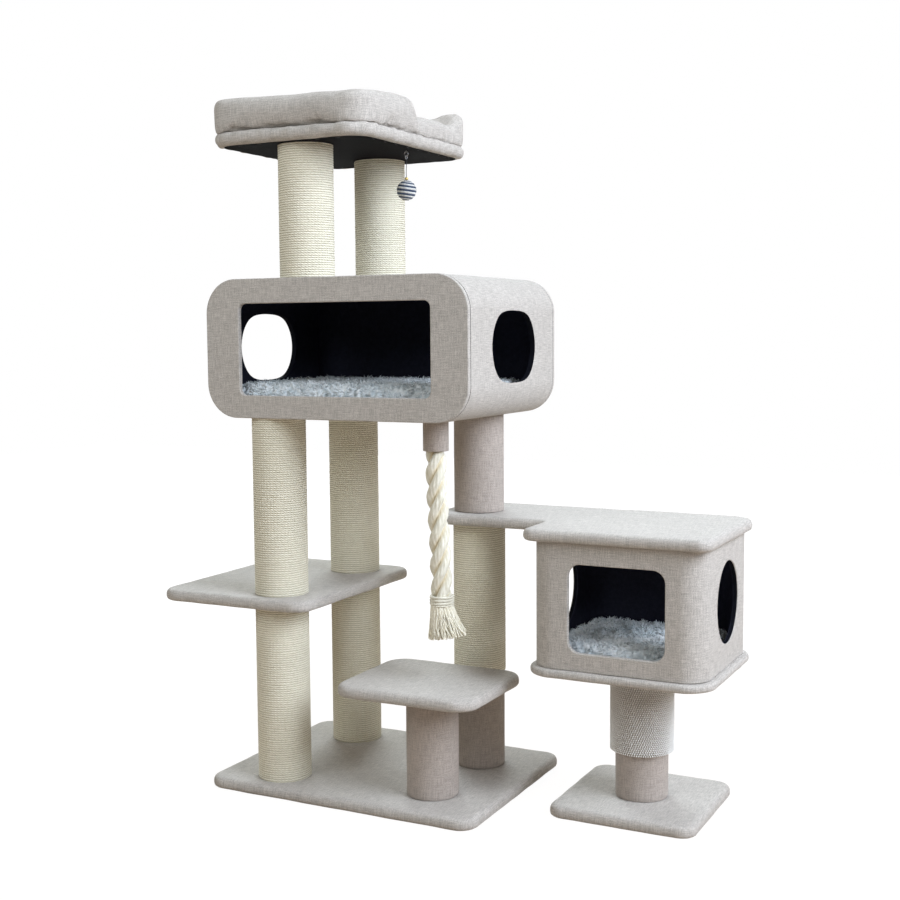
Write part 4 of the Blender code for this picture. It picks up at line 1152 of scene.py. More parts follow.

# %% [markdown]
# ## The brush sleeve
# Under the cabin the post wears a white plastic sleeve with thousands of small rubbery nubs, for a cat to
# rub against. One nub is a little cone with a round tip. It is copied in rows, each over a third of a nub
# further round than the last, so that the eye sees slanting lines. The whole sleeve is one piece, as it
# is moulded in one; the ground between the nubs is painted darker, as painted shade between the nubs.

# %% Sleeve and nubs
BRUSH_LOW, BRUSH_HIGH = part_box("brush_sleeve")
brush_x, brush_y, brush_outer = foot_of("brush_sleeve")
BRUSH_ROWS = 42
BRUSH_ROUND = 84
ROW_SHIFT = 0.36
NUB_HEIGHT = 0.0034
NUB_RADIUS = 0.0017
sleeve_outer = brush_outer - NUB_HEIGHT
sleeve = drum("brush_sleeve_nubs", (0, 0), sleeve_outer, BRUSH_LOW.z + 0.004, BRUSH_HIGH.z - 0.0006, 96)
edit(sleeve)
pick_faces(sleeve, lambda middle, normal: abs(normal.z) > 0.9)
bpy.ops.mesh.delete(type="FACE")
done()
modified(sleeve, "SOLIDIFY", thickness=sleeve_outer - cabin_foot[2] - 0.0004, offset=-1)
edit(sleeve)
pick_edges(sleeve, lambda middle, way: (
    abs(way.z) < 0.1 and math.hypot(middle.x, middle.y) > sleeve_outer - 0.001
))
round_off(0.0035, 3)
done()

bpy.ops.object.select_all(action="DESELECT")
bpy.ops.mesh.primitive_cylinder_add(vertices=6, radius=NUB_RADIUS, depth=NUB_HEIGHT, end_fill_type="NGON")
nub = settled(bpy.context.object, "nub")
edit(nub)
pick_faces(nub, lambda middle, normal: normal.z > 0.9)
bpy.ops.transform.resize(value=(0.72, 0.72, 1), center_override=(0, 0, 0))
round_off(0.0006, 2)
pick_faces(nub, lambda middle, normal: normal.z < -0.9)
bpy.ops.mesh.delete(type="FACE")
done()

nub_points = points_of(nub)
nub_faces = [tuple(face.vertices) for face in nub.data.polygons]
sleeve_points = [points_of(sleeve)]
sleeve_faces = [tuple(face.vertices) for face in sleeve.data.polygons]
ground_faces = len(sleeve_faces)
count = len(sleeve_points[0])
for row in range(BRUSH_ROWS):
    level = BRUSH_LOW.z + 0.0030 + (BRUSH_HIGH.z - BRUSH_LOW.z - 0.0055) * row / (BRUSH_ROWS - 1)
    for place in range(BRUSH_ROUND):
        angle = 2 * math.pi * (place + ROW_SHIFT * row) / BRUSH_ROUND
        lean = 0.0006 * math.sin(place * 12.9898 + row * 78.233)
        out = sleeve_outer + nub_points[:, 2] + NUB_HEIGHT / 2 - 0.0002
        side = nub_points[:, 0] + lean * (nub_points[:, 2] > 0)
        sleeve_points.append(np.stack([
            out * math.cos(angle) - side * math.sin(angle), out * math.sin(angle) + side * math.cos(angle),
            level + nub_points[:, 1] - 0.0004 * (nub_points[:, 2] > 0),
        ], 1))
        sleeve_faces.extend(tuple(corner + count for corner in face) for face in nub_faces)
        count += len(nub_points)
bpy.data.objects.remove(nub, do_unlink=True)
joined = bpy.data.meshes.new("brush_sleeve_nubs")
joined.from_pydata((np.concatenate(sleeve_points) + [brush_x, brush_y, 0]).tolist(), [], sleeve_faces)
sleeve.data = joined
shaded(sleeve, 50)
# The sleeve's own faces wear the darker finish, the painted shade between the nubs.
shaded_ground = [1 if index < ground_faces else 0 for index in range(len(sleeve_faces))]
dressed(sleeve, [BRUSH, BRUSH_PAINTED_SHADE], stands_for=["brush_sleeve"], lined=shaded_ground)

# %% [markdown]
# ## The rope's collar
# A short fabric-covered cup under the condo's floor takes the rope's upper end. It starts as a cylinder;
# its lower face is inset and pushed up, which leaves a wall and a socket.

# %% Collar
collar_radius = (COLLAR_HIGH.x - COLLAR_LOW.x) / 2
collar = drum("collar_cloth", (MOUTH.x, MOUTH.y), collar_radius, COLLAR_LOW.z, COLLAR_HIGH.z, 64)
edit(collar)
pick_faces(collar, lambda middle, normal: normal.z < -0.9)
bpy.ops.mesh.inset(thickness=0.0030)
bpy.ops.mesh.extrude_region_move(TRANSFORM_OT_translate={"value": (0, 0, 0.0236)})
pick_edges(collar, lambda middle, way: abs(middle.z - COLLAR_LOW.z) < 1e-5 and abs(way.z) < 0.1)
round_off(0.0011, 2)
done()
lay_flat(collar, round_a_post(MOUTH.x, MOUTH.y, 0.0275))
shaded(collar, 40)
dressed(collar, POST_CLOTH, stands_for=["rope_collar"])
# %% [markdown]
# ## The condo
# The condo is a lying box with big round corners: a bent wall of thin board between two flat panels, all
# covered with linen outside and lined with black inside. The wall is a bevelled box with its ends taken
# off and a thickness given inwards. The side holes are ovals pressed flat above and below, where the
# wall starts to bend, with soft corners in between. An oval cut off by two planes has sharp ones.

# %% Walls and holes
WALL = 0.012
RIM = 0.0024  # how far the linen turns into a hole before the lining starts


def inside_by(points, low, high, corner):
    """How far points of the plan lie inside a rounded rectangle."""
    middle = (np.array(low) + np.array(high)) / 2
    half = (np.array(high) - np.array(low)) / 2 - corner
    past = np.abs(points - middle) - half
    outside = np.linalg.norm(np.maximum(past, 0), axis=1) + np.minimum(past.max(axis=1), 0)
    return corner - outside


def lined_where(obj, test):
    """The number of each face's material, as the test gives it for the face's middle and normal."""
    return [int(test(face.center, face.normal)) for face in obj.data.polygons]


def by_depth(depth, start):
    """Linen outside, black on the edge of a hole, and the lining's own cloth on the inner side."""
    if depth <= start:
        return 0
    return 2 if depth < WALL - 0.0030 else 1


def soft_cutter(obj, along, width):
    """Softens a cutter's corner edges, which run along an axis."""
    edit(obj)
    pick_edges(obj, lambda middle, way: abs(way[along]) > 0.9)
    round_off(width, 6)
    done()
    return obj


def flat_oval(name, z, radius, tall, half_height, reach):
    """A lying oval drum along X, pressed flat above and below, with soft corners. radius is its half
    width and tall its half height before the pressing."""
    bpy.ops.object.select_all(action="DESELECT")
    bpy.ops.mesh.primitive_cylinder_add(
        vertices=96, radius=radius, depth=2 * reach, location=(0, 0, z), rotation=(0, math.pi / 2, 0)
    )
    obj = settled(bpy.context.object, name)
    points = points_of(obj)
    height = (points[:, 2] - z) * (tall / radius)
    points[:, 2] = z + height / (1 + np.abs(height / half_height) ** 7) ** (1 / 7)
    move_points(obj, points)
    return obj


def soft_rims(obj, width=0.0016, segments=3, degrees=35):
    """Rounds every sharp edge, and keeps the large faces flat."""
    edit(obj)
    bpy.ops.mesh.select_all(action="SELECT")
    bpy.ops.mesh.dissolve_degenerate(threshold=0.0002)
    done()
    limit = math.radians(degrees)
    modified(obj, "BEVEL", width=width, segments=segments, limit_method="ANGLE", angle_limit=limit)
    only(obj)
    bpy.ops.object.shade_smooth()
    modified(obj, "WEIGHTED_NORMAL", keep_sharp=True, weight=100)
    return obj


CONDO_LOW = Vector((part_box("condo_wall")[0].x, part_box("condo_front_panel")[0].y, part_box("condo_wall")[0].z))
CONDO_HIGH = Vector((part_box("condo_wall")[1].x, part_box("condo_back_panel")[1].y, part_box("condo_wall")[1].z))
CONDO_CORNER = 0.076
HOLE_Z = CONDO_LOW.z + 0.153
WINDOW = ((-0.2365, 0.890), (0.2365, 1.090))
print("condo", [round(value, 3) for value in CONDO_HIGH - CONDO_LOW])

# %% Bent wall
WALL_LOW, WALL_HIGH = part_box("condo_wall")
shell = block("condo_shell", WALL_LOW, WALL_HIGH)
edit(shell)
pick_edges(shell, lambda middle, way: abs(way.y) > 0.9)
round_off(CONDO_CORNER, 20)
pick_faces(shell, lambda middle, normal: abs(normal.y) > 0.9)
bpy.ops.mesh.delete(type="FACE")
done()
modified(shell, "SOLIDIFY", thickness=WALL, offset=-1, use_even_offset=True)
cut(shell, flat_oval("side_cut", HOLE_Z, 0.112, 0.0940, 0.0810, 0.4))
floor_bolts = [foot_of(name)[:2] for name in (
    "front_left_condo_bolt", "back_left_condo_bolt", "column_condo_bolt",
)]
roof_bolts = [foot_of(name)[:2] for name in ("front_roof_bolt", "back_roof_bolt")]
inner_floor, inner_roof = CONDO_LOW.z + WALL, CONDO_HIGH.z - WALL
bolt_pockets(shell, floor_bolts, inner_floor - POCKET_DEPTH, inner_floor + 0.01)
bolt_pockets(shell, roof_bolts, inner_roof - 0.01, inner_roof + POCKET_DEPTH)
soft_rims(shell, 0.0022)
condo_outline = ((CONDO_LOW.x, CONDO_LOW.z), (CONDO_HIGH.x, CONDO_HIGH.z), CONDO_CORNER)
lay_flat(shell, round_a_wall(*condo_outline, (0, 2, 1)))
shell_lining = lined_where(shell, lambda middle, normal: by_depth(
    inside_by(np.array([[middle.x, middle.z]]), *condo_outline)[0], RIM
))
dressed(shell, [LINEN, LINING, LINING_EDGE], stands_for=["condo_wall"], lined=shell_lining)

# %% Front and back panels
def end_panel(node_name, name):
    low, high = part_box(node_name)
    obj = block(name, low, high)
    edit(obj)
    pick_edges(obj, lambda middle, way: abs(way.y) > 0.9)
    round_off(CONDO_CORNER, 20)
    done()
    return obj


front = end_panel("condo_front_panel", "condo_front")
(left, bottom), (right_side, top) = WINDOW
pane = block("pane", (left, CONDO_LOW.y - 0.1, bottom), (right_side, CONDO_LOW.y + 0.1, top))
cut(front, soft_cutter(pane, 1, 0.015))
back = end_panel("condo_back_panel", "condo_back")
inner_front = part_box("condo_front_panel")[1].y - 0.0008
inner_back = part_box("condo_back_panel")[0].y + 0.0008


def in_window(middle, normal):
    """The inner face of the front panel. The window's edge is wrapped in linen right through."""
    return middle.y > inner_front and normal.y > 0.7


for piece, node_name, test in (
    (front, "condo_front_panel", in_window),
    (back, "condo_back_panel", lambda middle, normal: middle.y < inner_back and normal.y < -0.7),
):
    soft_rims(piece, 0.0024)
    lay_flat(piece, by_face)
    dressed(piece, [LINEN, LINING], stands_for=[node_name], lined=lined_where(piece, test))

# %% [markdown]
# ## The side cabin
# The cabin's wall is one board bent round a square plan with large soft corners, open above and below. The
# bridge closes its top and the floor board its bottom. It has a window in front and an oval hole in each
# side; the oval is a scaled drum.

# %% Cabin wall
CABIN_LOW, CABIN_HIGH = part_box("cabin_wall")
CABIN_CORNER = 0.054
cabin_wall = block("cabin_shell", CABIN_LOW, CABIN_HIGH)
edit(cabin_wall)
pick_edges(cabin_wall, lambda middle, way: abs(way.z) > 0.9)
round_off(CABIN_CORNER, 16)
pick_faces(cabin_wall, lambda middle, normal: abs(normal.z) > 0.9)
bpy.ops.mesh.delete(type="FACE")
done()
modified(cabin_wall, "SOLIDIFY", thickness=WALL, offset=-1, use_even_offset=True)
OVAL_WIDE, OVAL_TALL = 0.080, 0.087
oval_middle = (cabin_foot[0], cabin_foot[1], CABIN_LOW.z + 0.137)
bpy.ops.object.select_all(action="DESELECT")
bpy.ops.mesh.primitive_cylinder_add(
    vertices=72, radius=OVAL_WIDE, depth=0.8, location=oval_middle, rotation=(0, math.pi / 2, 0)
)
oval = settled(bpy.context.object, "oval")
edit(oval)
bpy.ops.mesh.select_all(action="SELECT")
bpy.ops.transform.resize(value=(1, 1, OVAL_TALL / OVAL_WIDE), center_override=oval_middle)
done()
cut(cabin_wall, oval)
pane = block(
    "pane", (cabin_foot[0] - 0.104, CABIN_LOW.y - 0.05, CABIN_LOW.z + 0.038),
    (cabin_foot[0] + 0.104, CABIN_LOW.y + 0.05, CABIN_LOW.z + 0.223),
)
cut(cabin_wall, soft_cutter(pane, 1, 0.026))
soft_rims(cabin_wall, 0.0022)
cabin_plan = ((CABIN_LOW.x, CABIN_LOW.y), (CABIN_HIGH.x, CABIN_HIGH.y), CABIN_CORNER)
lay_flat(cabin_wall, round_a_wall(*cabin_plan, (0, 1, 2)))


def in_cabin(middle, _):
    """The cabin's lined side. The window's edge in front is wrapped in linen, nearly right through."""
    start = WALL - 0.003 if middle.y < CABIN_LOW.y + WALL else RIM
    return by_depth(inside_by(np.array([[middle.x, middle.y]]), *cabin_plan)[0], start)


dressed(
    cabin_wall, [LINEN, LINING, LINING_EDGE], stands_for=["cabin_wall"],
    lined=lined_where(cabin_wall, in_cabin),
)
# %% [markdown]
# ## Stuffed pieces
# A cushion is puffed up by Blender's cloth: its skin is meshed finely, pressure pushes it out for a few
# frames, and how far a point may move is capped, so the cushion swells between its edges and still fits
# its place. It starts a little smaller than its place for that reason.

# %% Puffing
PUFF_PRESSURE = 4.0
PUFF_FRAMES = 20


def puffed(obj, voxel, cap):
    """Meshes a closed skin and inflates it. No point moves further than the cap."""
    modified(obj, "REMESH", mode="VOXEL", voxel_size=voxel)
    modified(obj, "SMOOTH", factor=0.5, iterations=3)
    start = points_of(obj)
    cloth = obj.modifiers.new("Puff", "CLOTH")
    cloth.settings.use_pressure = True
    cloth.settings.uniform_pressure_force = PUFF_PRESSURE
    cloth.settings.effector_weights.gravity = 0
    cloth.point_cache.frame_end = PUFF_FRAMES
    for number in range(1, PUFF_FRAMES + 1):
        bpy.context.scene.frame_set(number)
    swollen = obj.evaluated_get(bpy.context.evaluated_depsgraph_get()).to_mesh()
    flat = np.empty(len(start) * 3)
    swollen.vertices.foreach_get("co", flat)
    shift = flat.reshape(-1, 3) - start
    obj.evaluated_get(bpy.context.evaluated_depsgraph_get()).to_mesh_clear()
    obj.modifiers.remove(cloth)
    bpy.context.scene.frame_set(1)
    far = np.linalg.norm(shift, axis=1, keepdims=True)
    shift *= np.minimum(1, cap / np.maximum(far, 1e-9))
    move_points(obj, start + shift)
    print(obj.name, "swelled by up to", round(float(min(far.max(), cap)) * 1000, 1), "mm")
    return obj


def kept_in(obj, low, high):
    """Holds a soft piece inside the space that it has."""
    move_points(obj, np.clip(points_of(obj), low, high))
    return obj


print("puffing ready")

# %% [markdown]
# ## The fur cushions
# A loose plush cushion lies on the floor of the condo and of the cabin. Its pile gathers into lumps and
# tufts, pale where the light strikes and bluish between them. The skin is puffed, then raised and sunk
# into lumps, and thousands of small bent tufts are planted on its upper side for a soft edge.

# %% Fur
def furred(obj, lump, height, seed):
    """Gives a skin the lumps of long plush."""
    points = points_of(obj)
    normals = normals_of(obj)
    lumps = 0.55 * ripple(points, lump, seed) + 0.45 * ripple(points, lump * 0.45, seed + 1)
    crest = 1 - np.abs(ripple(points, lump * 0.8, seed + 2))
    up = smoothstep(-0.6, 0.3, normals[:, 2])
    shift = (0.55 * lumps + 0.6 * (crest - 0.6)) * height * up - height * 0.55 * up
    move_points(obj, points + normals * shift[:, None])
    return obj


def planted(obj, name, count, length, width, seed):
    """Small bent tufts on the skin's upper side, as one mesh."""
    normals = normals_of(obj)
    points = points_of(obj)
    able = np.nonzero(normals[:, 2] > 0.15)[0]
    chooser = np.random.default_rng(seed)
    roots = points[chooser.choice(able, size=min(count, len(able)), replace=False)]
    order = {tuple(np.round(point, 6)): index for index, point in enumerate(points)}
    verts, faces = [], []
    for root in roots:
        normal = normals[order[tuple(np.round(root, 6))]]
        swirl = np.array([
            math.sin(root[0] * 90 + root[1] * 40), math.cos(root[1] * 75 - root[0] * 55), 0.0
        ]) + chooser.normal(0, 0.55, 3) * [1, 1, 0.2]
        swirl /= np.linalg.norm(swirl) + 1e-9
        side = np.cross(normal, swirl)
        side /= np.linalg.norm(side) + 1e-9
        tall = length * chooser.uniform(0.6, 1.15)
        wide = width * chooser.uniform(0.7, 1.2)
        base = len(verts)
        for share, girth in ((-0.15, 1.0), (0.45, 0.85), (0.85, 0.45)):
            centre = root + normal * tall * share * (1 - 0.35 * share) + swirl * tall * 0.8 * share ** 1.6
            for corner in range(4):
                turn = corner * math.pi / 2
                verts.append(centre + (side * math.cos(turn) + swirl * math.sin(turn) * 0.6) * wide * girth)
        verts.append(root + normal * tall * 0.62 + swirl * tall * 0.95)
        for lower in (base, base + 4):
            for corner in range(4):
                nearby = (corner + 1) % 4
                faces.append((lower + corner, lower + nearby, lower + 4 + nearby, lower + 4 + corner))
        for corner in range(4):
            faces.append((base + 8 + corner, base + 8 + (corner + 1) % 4, base + 12))
        faces.append((base + 3, base + 2, base + 1, base))
    return shaded(from_faces(name, [tuple(vert) for vert in verts], faces), 80)


def plush_cushion(node_name, name, plan_axis, corner, tufts, seed):
    """A fur cushion in the box of its CAD node. Its corners run along plan_axis."""
    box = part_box(node_name)
    low = box[0] + Vector((0.006, 0.006, 0.001))
    high = box[1] - Vector((0.006, 0.006, 0.008))
    obj = block(name, low, high)
    edit(obj)
    pick_edges(obj, lambda middle, way: (
        abs(way[plan_axis]) > 0.9 and (plan_axis == 2 or middle.z < low.z + 0.001)
    ))
    round_off(corner, 6)
    soft = max(0.008, min(0.016, (high.z - low.z) * 0.3))
    pick_edges(obj, lambda middle, way: abs(middle.z - high.z) < 1e-5)
    round_off(soft, 4)
    done()
    puffed(obj, 0.0042, 0.009)
    modified(obj, "SUBSURF", levels=1, render_levels=1)
    furred(obj, 0.022, 0.0062, seed)
    kept_in(obj, tuple(box[0]), tuple(box[1] + Vector((0, 0, 0.006))))
    shaded(obj, 80)
    dressed(obj, FUR, stands_for=[node_name])
    pile = planted(obj, name + "_pile", tufts, 0.0085, 0.00125, seed)
    dressed(pile, FUR)


plush_cushion("condo_cushion", "condo_bed", 1, 0.040, 9000, 31)
plush_cushion("cabin_cushion", "cabin_bed", 2, 0.038, 5500, 41)
# %% [markdown]
# ## The perch
# The top bed is a padded board with a plump roll on it, open to the right where the roll dips low for the
# way in. The board is wrapped so softly that its edge looks like a second, flatter roll, puckered where
# the cloth is pulled round the corners. A black dust cover is stapled under it.

# %% Perch board
PERCH_LOW, PERCH_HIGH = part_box("perch_board")
perch_board = block("perch_board_padded", PERCH_LOW, PERCH_HIGH)
edit(perch_board)
pick_edges(perch_board, lambda middle, way: abs(way.z) > 0.9)
round_off(0.058, 14)
pick_edges(perch_board, lambda middle, way: abs(middle.z - PERCH_HIGH.z) < 1e-5)
round_off(0.013, 6)
pick_edges(perch_board, lambda middle, way: abs(middle.z - PERCH_LOW.z) < 1e-5)
round_off(0.0135, 6)
done()
padded(perch_board, 0.0033, 0.0003, 4)
points = points_of(perch_board)
normals = normals_of(perch_board)
plan = ((PERCH_LOW.x, PERCH_LOW.y), (PERCH_HIGH.x, PERCH_HIGH.y))
edge = smoothstep(0.022, 0.0, inside_by(points[:, :2], *plan, 0.058))
puckers = ripple(points * [1, 1, 0.25], 0.021, 6)
points = points + normals * (edge * (0.0016 * puckers + 0.0010))[:, None]
move_points(perch_board, points)
lay_flat(perch_board, by_face)
shaded(perch_board, 70)
dressed(perch_board, LINEN, stands_for=["perch_board"])

# %% Roll
ROLL_LOW, ROLL_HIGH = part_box("perch_bolster")
ROLL_THICK = 0.066
SHOULDER_LEVELS = (  # from the perch's middle towards the back, and the top of the roll's right side
    (-0.25, 1.525), (-0.22, 1.530), (-0.14, 1.535), (-0.08, 1.5415), (-0.04, 1.5425), (-0.025, 1.537),
    (0.0, 1.502), (0.025, 1.500), (0.05, 1.504), (0.12, 1.503), (0.165, 1.499), (0.19, 1.506),
    (0.21, 1.523), (0.228, 1.5425), (0.25, 1.5425),
)
SWELL = 0.0045
ROLL_SAG = 0.0065  # how far the roll hangs into the gap over the board's soft edge
ROLL_GAP = 0.003  # how much smaller the roll starts on each side
ROLL_LIFT = 0.0006  # and below
ROLL_DROP = 0.0018  # and above
roll = block(
    "perch_roll", ROLL_LOW + Vector((ROLL_GAP, ROLL_GAP, ROLL_LIFT)),
    ROLL_HIGH - Vector((ROLL_GAP, ROLL_GAP, ROLL_DROP)),
)
edit(roll)
pick_edges(roll, lambda middle, way: abs(way.z) > 0.9 and middle.x > 0 > middle.y)
round_off(0.056, 12)
pick_edges(roll, lambda middle, way: (
    abs(way.z) > 0.9 and (middle.x < ROLL_LOW.x + 0.01 or middle.y > ROLL_HIGH.y - 0.01)
))
round_off(0.040, 12)
done()
well = block(
    "well", (ROLL_LOW.x + ROLL_THICK - ROLL_GAP, ROLL_LOW.y + ROLL_THICK - ROLL_GAP, ROLL_LOW.z - 0.1),
    (ROLL_HIGH.x - ROLL_THICK + ROLL_GAP, ROLL_HIGH.y - ROLL_THICK + ROLL_GAP, ROLL_HIGH.z + 0.1),
)
edit(well)
pick_edges(well, lambda middle, way: abs(way.z) > 0.9)
round_off(0.030, 8)
done()
cut(roll, well)
edit(roll)
pick_edges(roll, lambda middle, way: abs(middle.z - ROLL_HIGH.z + ROLL_DROP) < 1e-4)
round_off(0.019, 6)
pick_edges(roll, lambda middle, way: abs(middle.z - ROLL_LOW.z - ROLL_LIFT) < 1e-4)
round_off(0.013, 5)
done()
modified(roll, "REMESH", mode="VOXEL", voxel_size=0.0048)
points = points_of(roll)
at_right = smoothstep(ROLL_HIGH.x - 0.11, ROLL_HIGH.x - 0.060, points[:, 0])
shoulder = np.interp(points[:, 1], *zip(*SHOULDER_LEVELS))
share = (shoulder - SWELL - ROLL_LOW.z) / (ROLL_HIGH.z - ROLL_DROP - ROLL_LOW.z)
leaning = np.interp(points[:, 0], (ROLL_LOW.x, ROLL_LOW.x + 0.10, ROLL_HIGH.x - 0.12), (0.07, 0.0, -0.035))
stretch = 1 + (share - 1) * at_right + leaning * (1 - at_right)
points[:, 2] = ROLL_LOW.z + (points[:, 2] - ROLL_LOW.z) * stretch
move_points(roll, points)
puffed(roll, 0.0048, 0.006)
points = points_of(roll)
normals = normals_of(roll)
low_edge = smoothstep(0.020, 0.002, points[:, 2] - ROLL_LOW.z)
wrinkle = ripple(points * [1, 1, 0.35], 0.019, 9) * low_edge * 0.0016
wide = ripple(points, 0.085, 10) * 0.0007
move_points(roll, points + normals * (wrinkle + wide)[:, None])
modified(roll, "SUBSURF", levels=1, render_levels=1)
roll_room = (ROLL_LOW - Vector((0.005, 0.005, -0.0002)), ROLL_HIGH + Vector((0.005, 0.005, 0.0118)))
kept_in(roll, *map(tuple, roll_room))
points = points_of(roll)
over_edge = smoothstep(0.016, 0.002, inside_by(points[:, :2], *plan, 0.058))
points[:, 2] -= ROLL_SAG * over_edge * smoothstep(0.034, 0.0, points[:, 2] - ROLL_LOW.z)
move_points(roll, points)
lay_flat(roll, by_face)
shaded(roll, 70)
dressed(roll, LINEN, stands_for=["perch_bolster"])

# %% Pad
PAD_LOW, PAD_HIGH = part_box("perch_pad")
PAD_DROP = 0.004  # how much lower the pad starts, so that it can swell
pad = block(
    "perch_seat_pad", PAD_LOW + Vector((0.002, 0.002, 0.0004)), PAD_HIGH - Vector((0.002, 0.002, PAD_DROP))
)
edit(pad)
pick_edges(pad, lambda middle, way: abs(way.z) > 0.9)
round_off(0.030, 8)
pick_edges(pad, lambda middle, way: abs(middle.z - PAD_HIGH.z + PAD_DROP) < 1e-4)
round_off(0.007, 4)
done()
puffed(pad, 0.0050, 0.006)
modified(pad, "SUBSURF", levels=1, render_levels=1)
kept_in(pad, tuple(PAD_LOW), tuple(PAD_HIGH + Vector((0, 0, 0.002))))
lay_flat(pad, by_face)
shaded(pad, 70)
dressed(pad, LINEN, stands_for=["perch_pad"])

# %% [markdown]
# ## The dust cover
# A black non-woven sheet hides the raw edges of the linen under the perch. It is one thin sheet, drawn
# fairly tight, with small wrinkles that run in from its staples.

# %% Dust cover and staples
COVER_INSET = 0.017
cover_low = (PERCH_LOW.x + COVER_INSET, PERCH_LOW.y + COVER_INSET)
cover_high = (PERCH_HIGH.x - COVER_INSET, PERCH_HIGH.y - COVER_INSET)
flat_size = (cover_high[0] - cover_low[0], cover_high[1] - cover_low[1])
middle_x = (cover_low[0] + cover_high[0]) / 2
COVER_CORNER = 0.045
bpy.ops.object.select_all(action="DESELECT")
bpy.ops.mesh.primitive_grid_add(
    x_subdivisions=90, y_subdivisions=110, size=1, location=(middle_x, 0, PERCH_LOW.z - 0.0006)
)
cover = bpy.context.object
cover.scale = (*flat_size, 1)
settled(cover, "perch_dust_cover")
points = points_of(cover)
middle = np.array([middle_x, 0.0])
straight = np.array([cover_high[0] - middle_x, cover_high[1]]) - COVER_CORNER
away = np.abs(points[:, :2] - middle)
past = np.maximum(away - straight, 0)
reach = np.linalg.norm(past, axis=1)
pull = np.where(reach > 1e-9, np.maximum(past.max(axis=1), 1e-9) / np.maximum(reach, 1e-9), 1.0)
rounded = np.minimum(away, straight) + past * pull[:, None]
points[:, :2] = middle + np.sign(points[:, :2] - middle) * rounded
border = smoothstep(0.05, 0.0, inside_by(points[:, :2], cover_low, cover_high, COVER_CORNER))
points[:, 2] -= 0.00035 * (ripple(points, 0.030, 14) + 1) * border
move_points(cover, points)
modified(cover, "SOLIDIFY", thickness=0.0004, offset=1)
shaded(cover, 60)
dressed(cover, DUST_COVER)

staple = block("staple", (-0.0050, -0.0006, -0.0005), (0.0050, 0.0006, 0.0))
edit(staple)
bpy.ops.mesh.select_all(action="SELECT")
round_off(0.0003, 2)
done()
staple_points = points_of(staple)
staple_faces = [tuple(face.vertices) for face in staple.data.polygons]
bpy.data.objects.remove(staple, do_unlink=True)
STAPLE_INSET = 0.006
verts, faces = [], []
spots = []
for x in np.linspace(cover_low[0] + 0.06, cover_high[0] - 0.06, 6):
    spots += [(x, cover_low[1] + STAPLE_INSET, 0.1), (x, cover_high[1] - STAPLE_INSET, -0.1)]
for y in np.linspace(cover_low[1] + 0.06, cover_high[1] - 0.06, 8):
    spots += [
        (cover_low[0] + STAPLE_INSET, y, math.pi / 2), (cover_high[0] - STAPLE_INSET, y, math.pi / 2 + 0.1),
    ]
for x, y, turn in spots:
    base_count = len(verts)
    for point in staple_points:
        verts.append((
            x + point[0] * math.cos(turn) - point[1] * math.sin(turn),
            y + point[0] * math.sin(turn) + point[1] * math.cos(turn), PERCH_LOW.z - 0.0011 + point[2],
        ))
    faces += [tuple(corner_index + base_count for corner_index in face) for face in staple_faces]
staples = shaded(from_faces("perch_staples", verts, faces), 40)
dressed(staples, WIRE)
# %% [markdown]
# ## The hanging toy
# A screw eye holds a small split ring, and the ring holds the cord. The ball is wound with two yarns side
# by side, one pale and one dark blue, so it is striped like a globe. Each turn of yarn is a bump on the
# ball's outline; the outline is spun about the ball's axis, and the ball leans a little to the right.

# %% Wire pieces
def wire(name, route, radius, sides=8):
    """Bent wire along a route, as a mesh."""
    return bundle(name, [[(point, 1.0) for point in route]], radius, sides)


def arc(middle, radius, start, sweep, steps, way=(1, 0)):
    """The points of an upright arc. way is its level direction."""
    angles = [start + number / steps * sweep for number in range(steps + 1)]
    return [(
        middle[0] + way[0] * radius * math.cos(angle), middle[1] + way[1] * radius * math.cos(angle),
        middle[2] + radius * math.sin(angle),
    ) for angle in angles]


EYE_LOW, EYE_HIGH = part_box("toy_screw_eye")
RING_LOW, RING_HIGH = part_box("toy_ring")
EYE_WIRE = 0.0011
eye_radius = (EYE_HIGH.x - EYE_LOW.x) / 2 - EYE_WIRE
eye_level = EYE_LOW.z + EYE_WIRE + eye_radius
route = [(TOY_X, TOY_Y, EYE_HIGH.z - 0.001), (TOY_X, TOY_Y, PERCH_LOW.z - 0.0008)]
route += arc((TOY_X, TOY_Y, eye_level), eye_radius, math.pi / 2 - 0.20, 0.42 - 2 * math.pi, 28)
eye = wire("toy_eye", route, EYE_WIRE)
dressed(eye, STEEL, stands_for=["toy_screw_eye"])

RING_WIRE = 0.0008
ring_radius = (RING_HIGH.y - RING_LOW.y) / 2 - RING_WIRE
ring_level = (RING_LOW.z + RING_HIGH.z) / 2
route = arc((TOY_X, TOY_Y, ring_level), ring_radius, 0.35, 2 * math.pi - 0.06, 36, (0, 1))
ring = wire("toy_split_ring", route, RING_WIRE)
dressed(ring, STEEL, "toy_ring", ["toy_ring"])

# %% Cord with its loop and knot
loop = arc((TOY_X, TOY_Y, CORD_HIGH.z + 0.0012), 0.0018, 0.25 - math.pi / 2, 2 * math.pi - 0.5, 24)
knot = wire("toy_cord_loop", loop, 0.0006)
dressed(knot, DARK_CORD, "toy_pendulum")
toy_string.data.materials.append(DARK_CORD)
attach(toy_string, "toy_pendulum")
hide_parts("toy_cord")

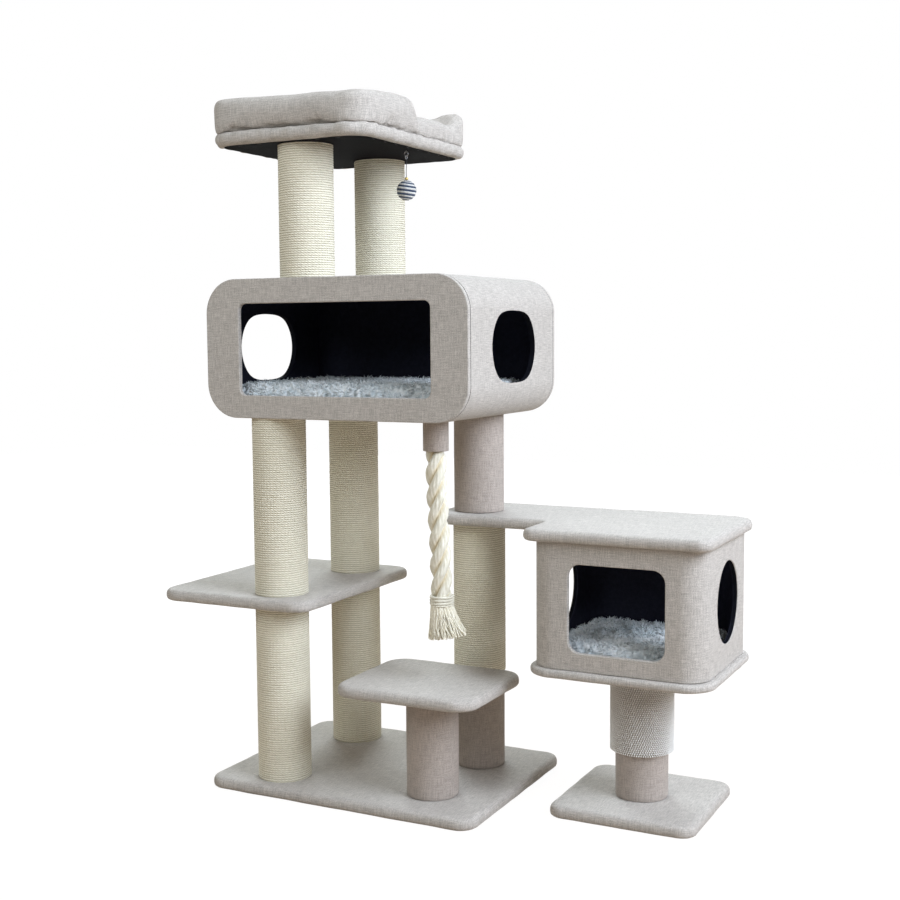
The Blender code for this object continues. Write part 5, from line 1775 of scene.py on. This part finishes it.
# %% Bead
BEAD_LOW, BEAD_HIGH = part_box("toy_bead")
bead_radius = (BEAD_HIGH.x - BEAD_LOW.x) / 2
bead = drum("toy_bead_brass", (TOY_X, TOY_Y), bead_radius * 0.72, BEAD_LOW.z, BEAD_HIGH.z, 32)
edit(bead)
pick_edges(bead, lambda middle, way: abs(way.z) > 0.9)
bpy.ops.mesh.subdivide(number_cuts=7)
done()
points = points_of(bead)
middle_level = (BEAD_LOW.z + BEAD_HIGH.z) / 2
rise = (points[:, 2] - middle_level) / (BEAD_HIGH.z - middle_level)
belly = np.where(np.abs(rise) > 0.999, 0.72, 0.72 + 0.28 * np.sqrt(np.maximum(1 - rise ** 2, 0)))
around = points[:, :2] - [TOY_X, TOY_Y]
size = np.linalg.norm(around, axis=1, keepdims=True)
outward = around / np.maximum(size, 1e-9) * (size > 1e-6)
points[:, :2] = [TOY_X, TOY_Y] + outward * bead_radius * belly[:, None]
move_points(bead, points)
dressed(shaded(bead, 50), BRASS, "toy_pendulum", ["toy_bead"])

# %% Wound ball
BALL_LOW, BALL_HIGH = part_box("toy_ball")
ball_radius = (BALL_HIGH.z - BALL_LOW.z) / 2
ball_middle = (BALL_LOW + BALL_HIGH) / 2
BALL_TURNS = 15
YARN_BULGE = 0.0011
BALL_LEAN = math.radians(9)
SAMPLES = 8
rows = BALL_TURNS * SAMPLES
bpy.ops.object.select_all(action="DESELECT")
bpy.ops.mesh.primitive_uv_sphere_add(segments=72, ring_count=rows, radius=ball_radius)
ball = settled(bpy.context.object, "yarn_ball")
points = points_of(ball)
tilt = np.arccos(np.clip(points[:, 2] / ball_radius, -1, 1))
turn_share = tilt / math.pi * BALL_TURNS
bulge = np.abs(np.sin(turn_share * math.pi))
waver = 0.10 * np.sin(np.arctan2(points[:, 1], points[:, 0]) * 3 + np.floor(turn_share) * 2.1)
points *= (1 - YARN_BULGE / ball_radius * (1 - bulge ** 0.6) + 0.0015 * waver)[:, None]
lay_flat(ball, lambda places, normals, first: np.stack([places[:, 0] + places[:, 1], places[:, 2]], 1))
stripes = [
    int(math.acos(max(-1, min(1, face.center.z / face.center.length))) / math.pi * BALL_TURNS) % 2
    for face in ball.data.polygons
]
lean = np.array(Matrix.Rotation(BALL_LEAN, 3, "Y"))
move_points(ball, points @ lean.T + np.array(ball_middle))
shaded(ball, 80)
dressed(ball, [YARN_PALE, YARN_BLUE], "toy_ball", ["toy_ball"], stripes)

# %% [markdown]
# ## Last measure
# The box of the CAD solids under the finished looks is printed. The finished looks may stand
# a few millimetres proud of the solids under them, and no more.

# %% Size of the frame
bpy.ops.object.select_all(action="DESELECT")
print("cad box", [[round(value, 4) for value in corner] for corner in cad_box])
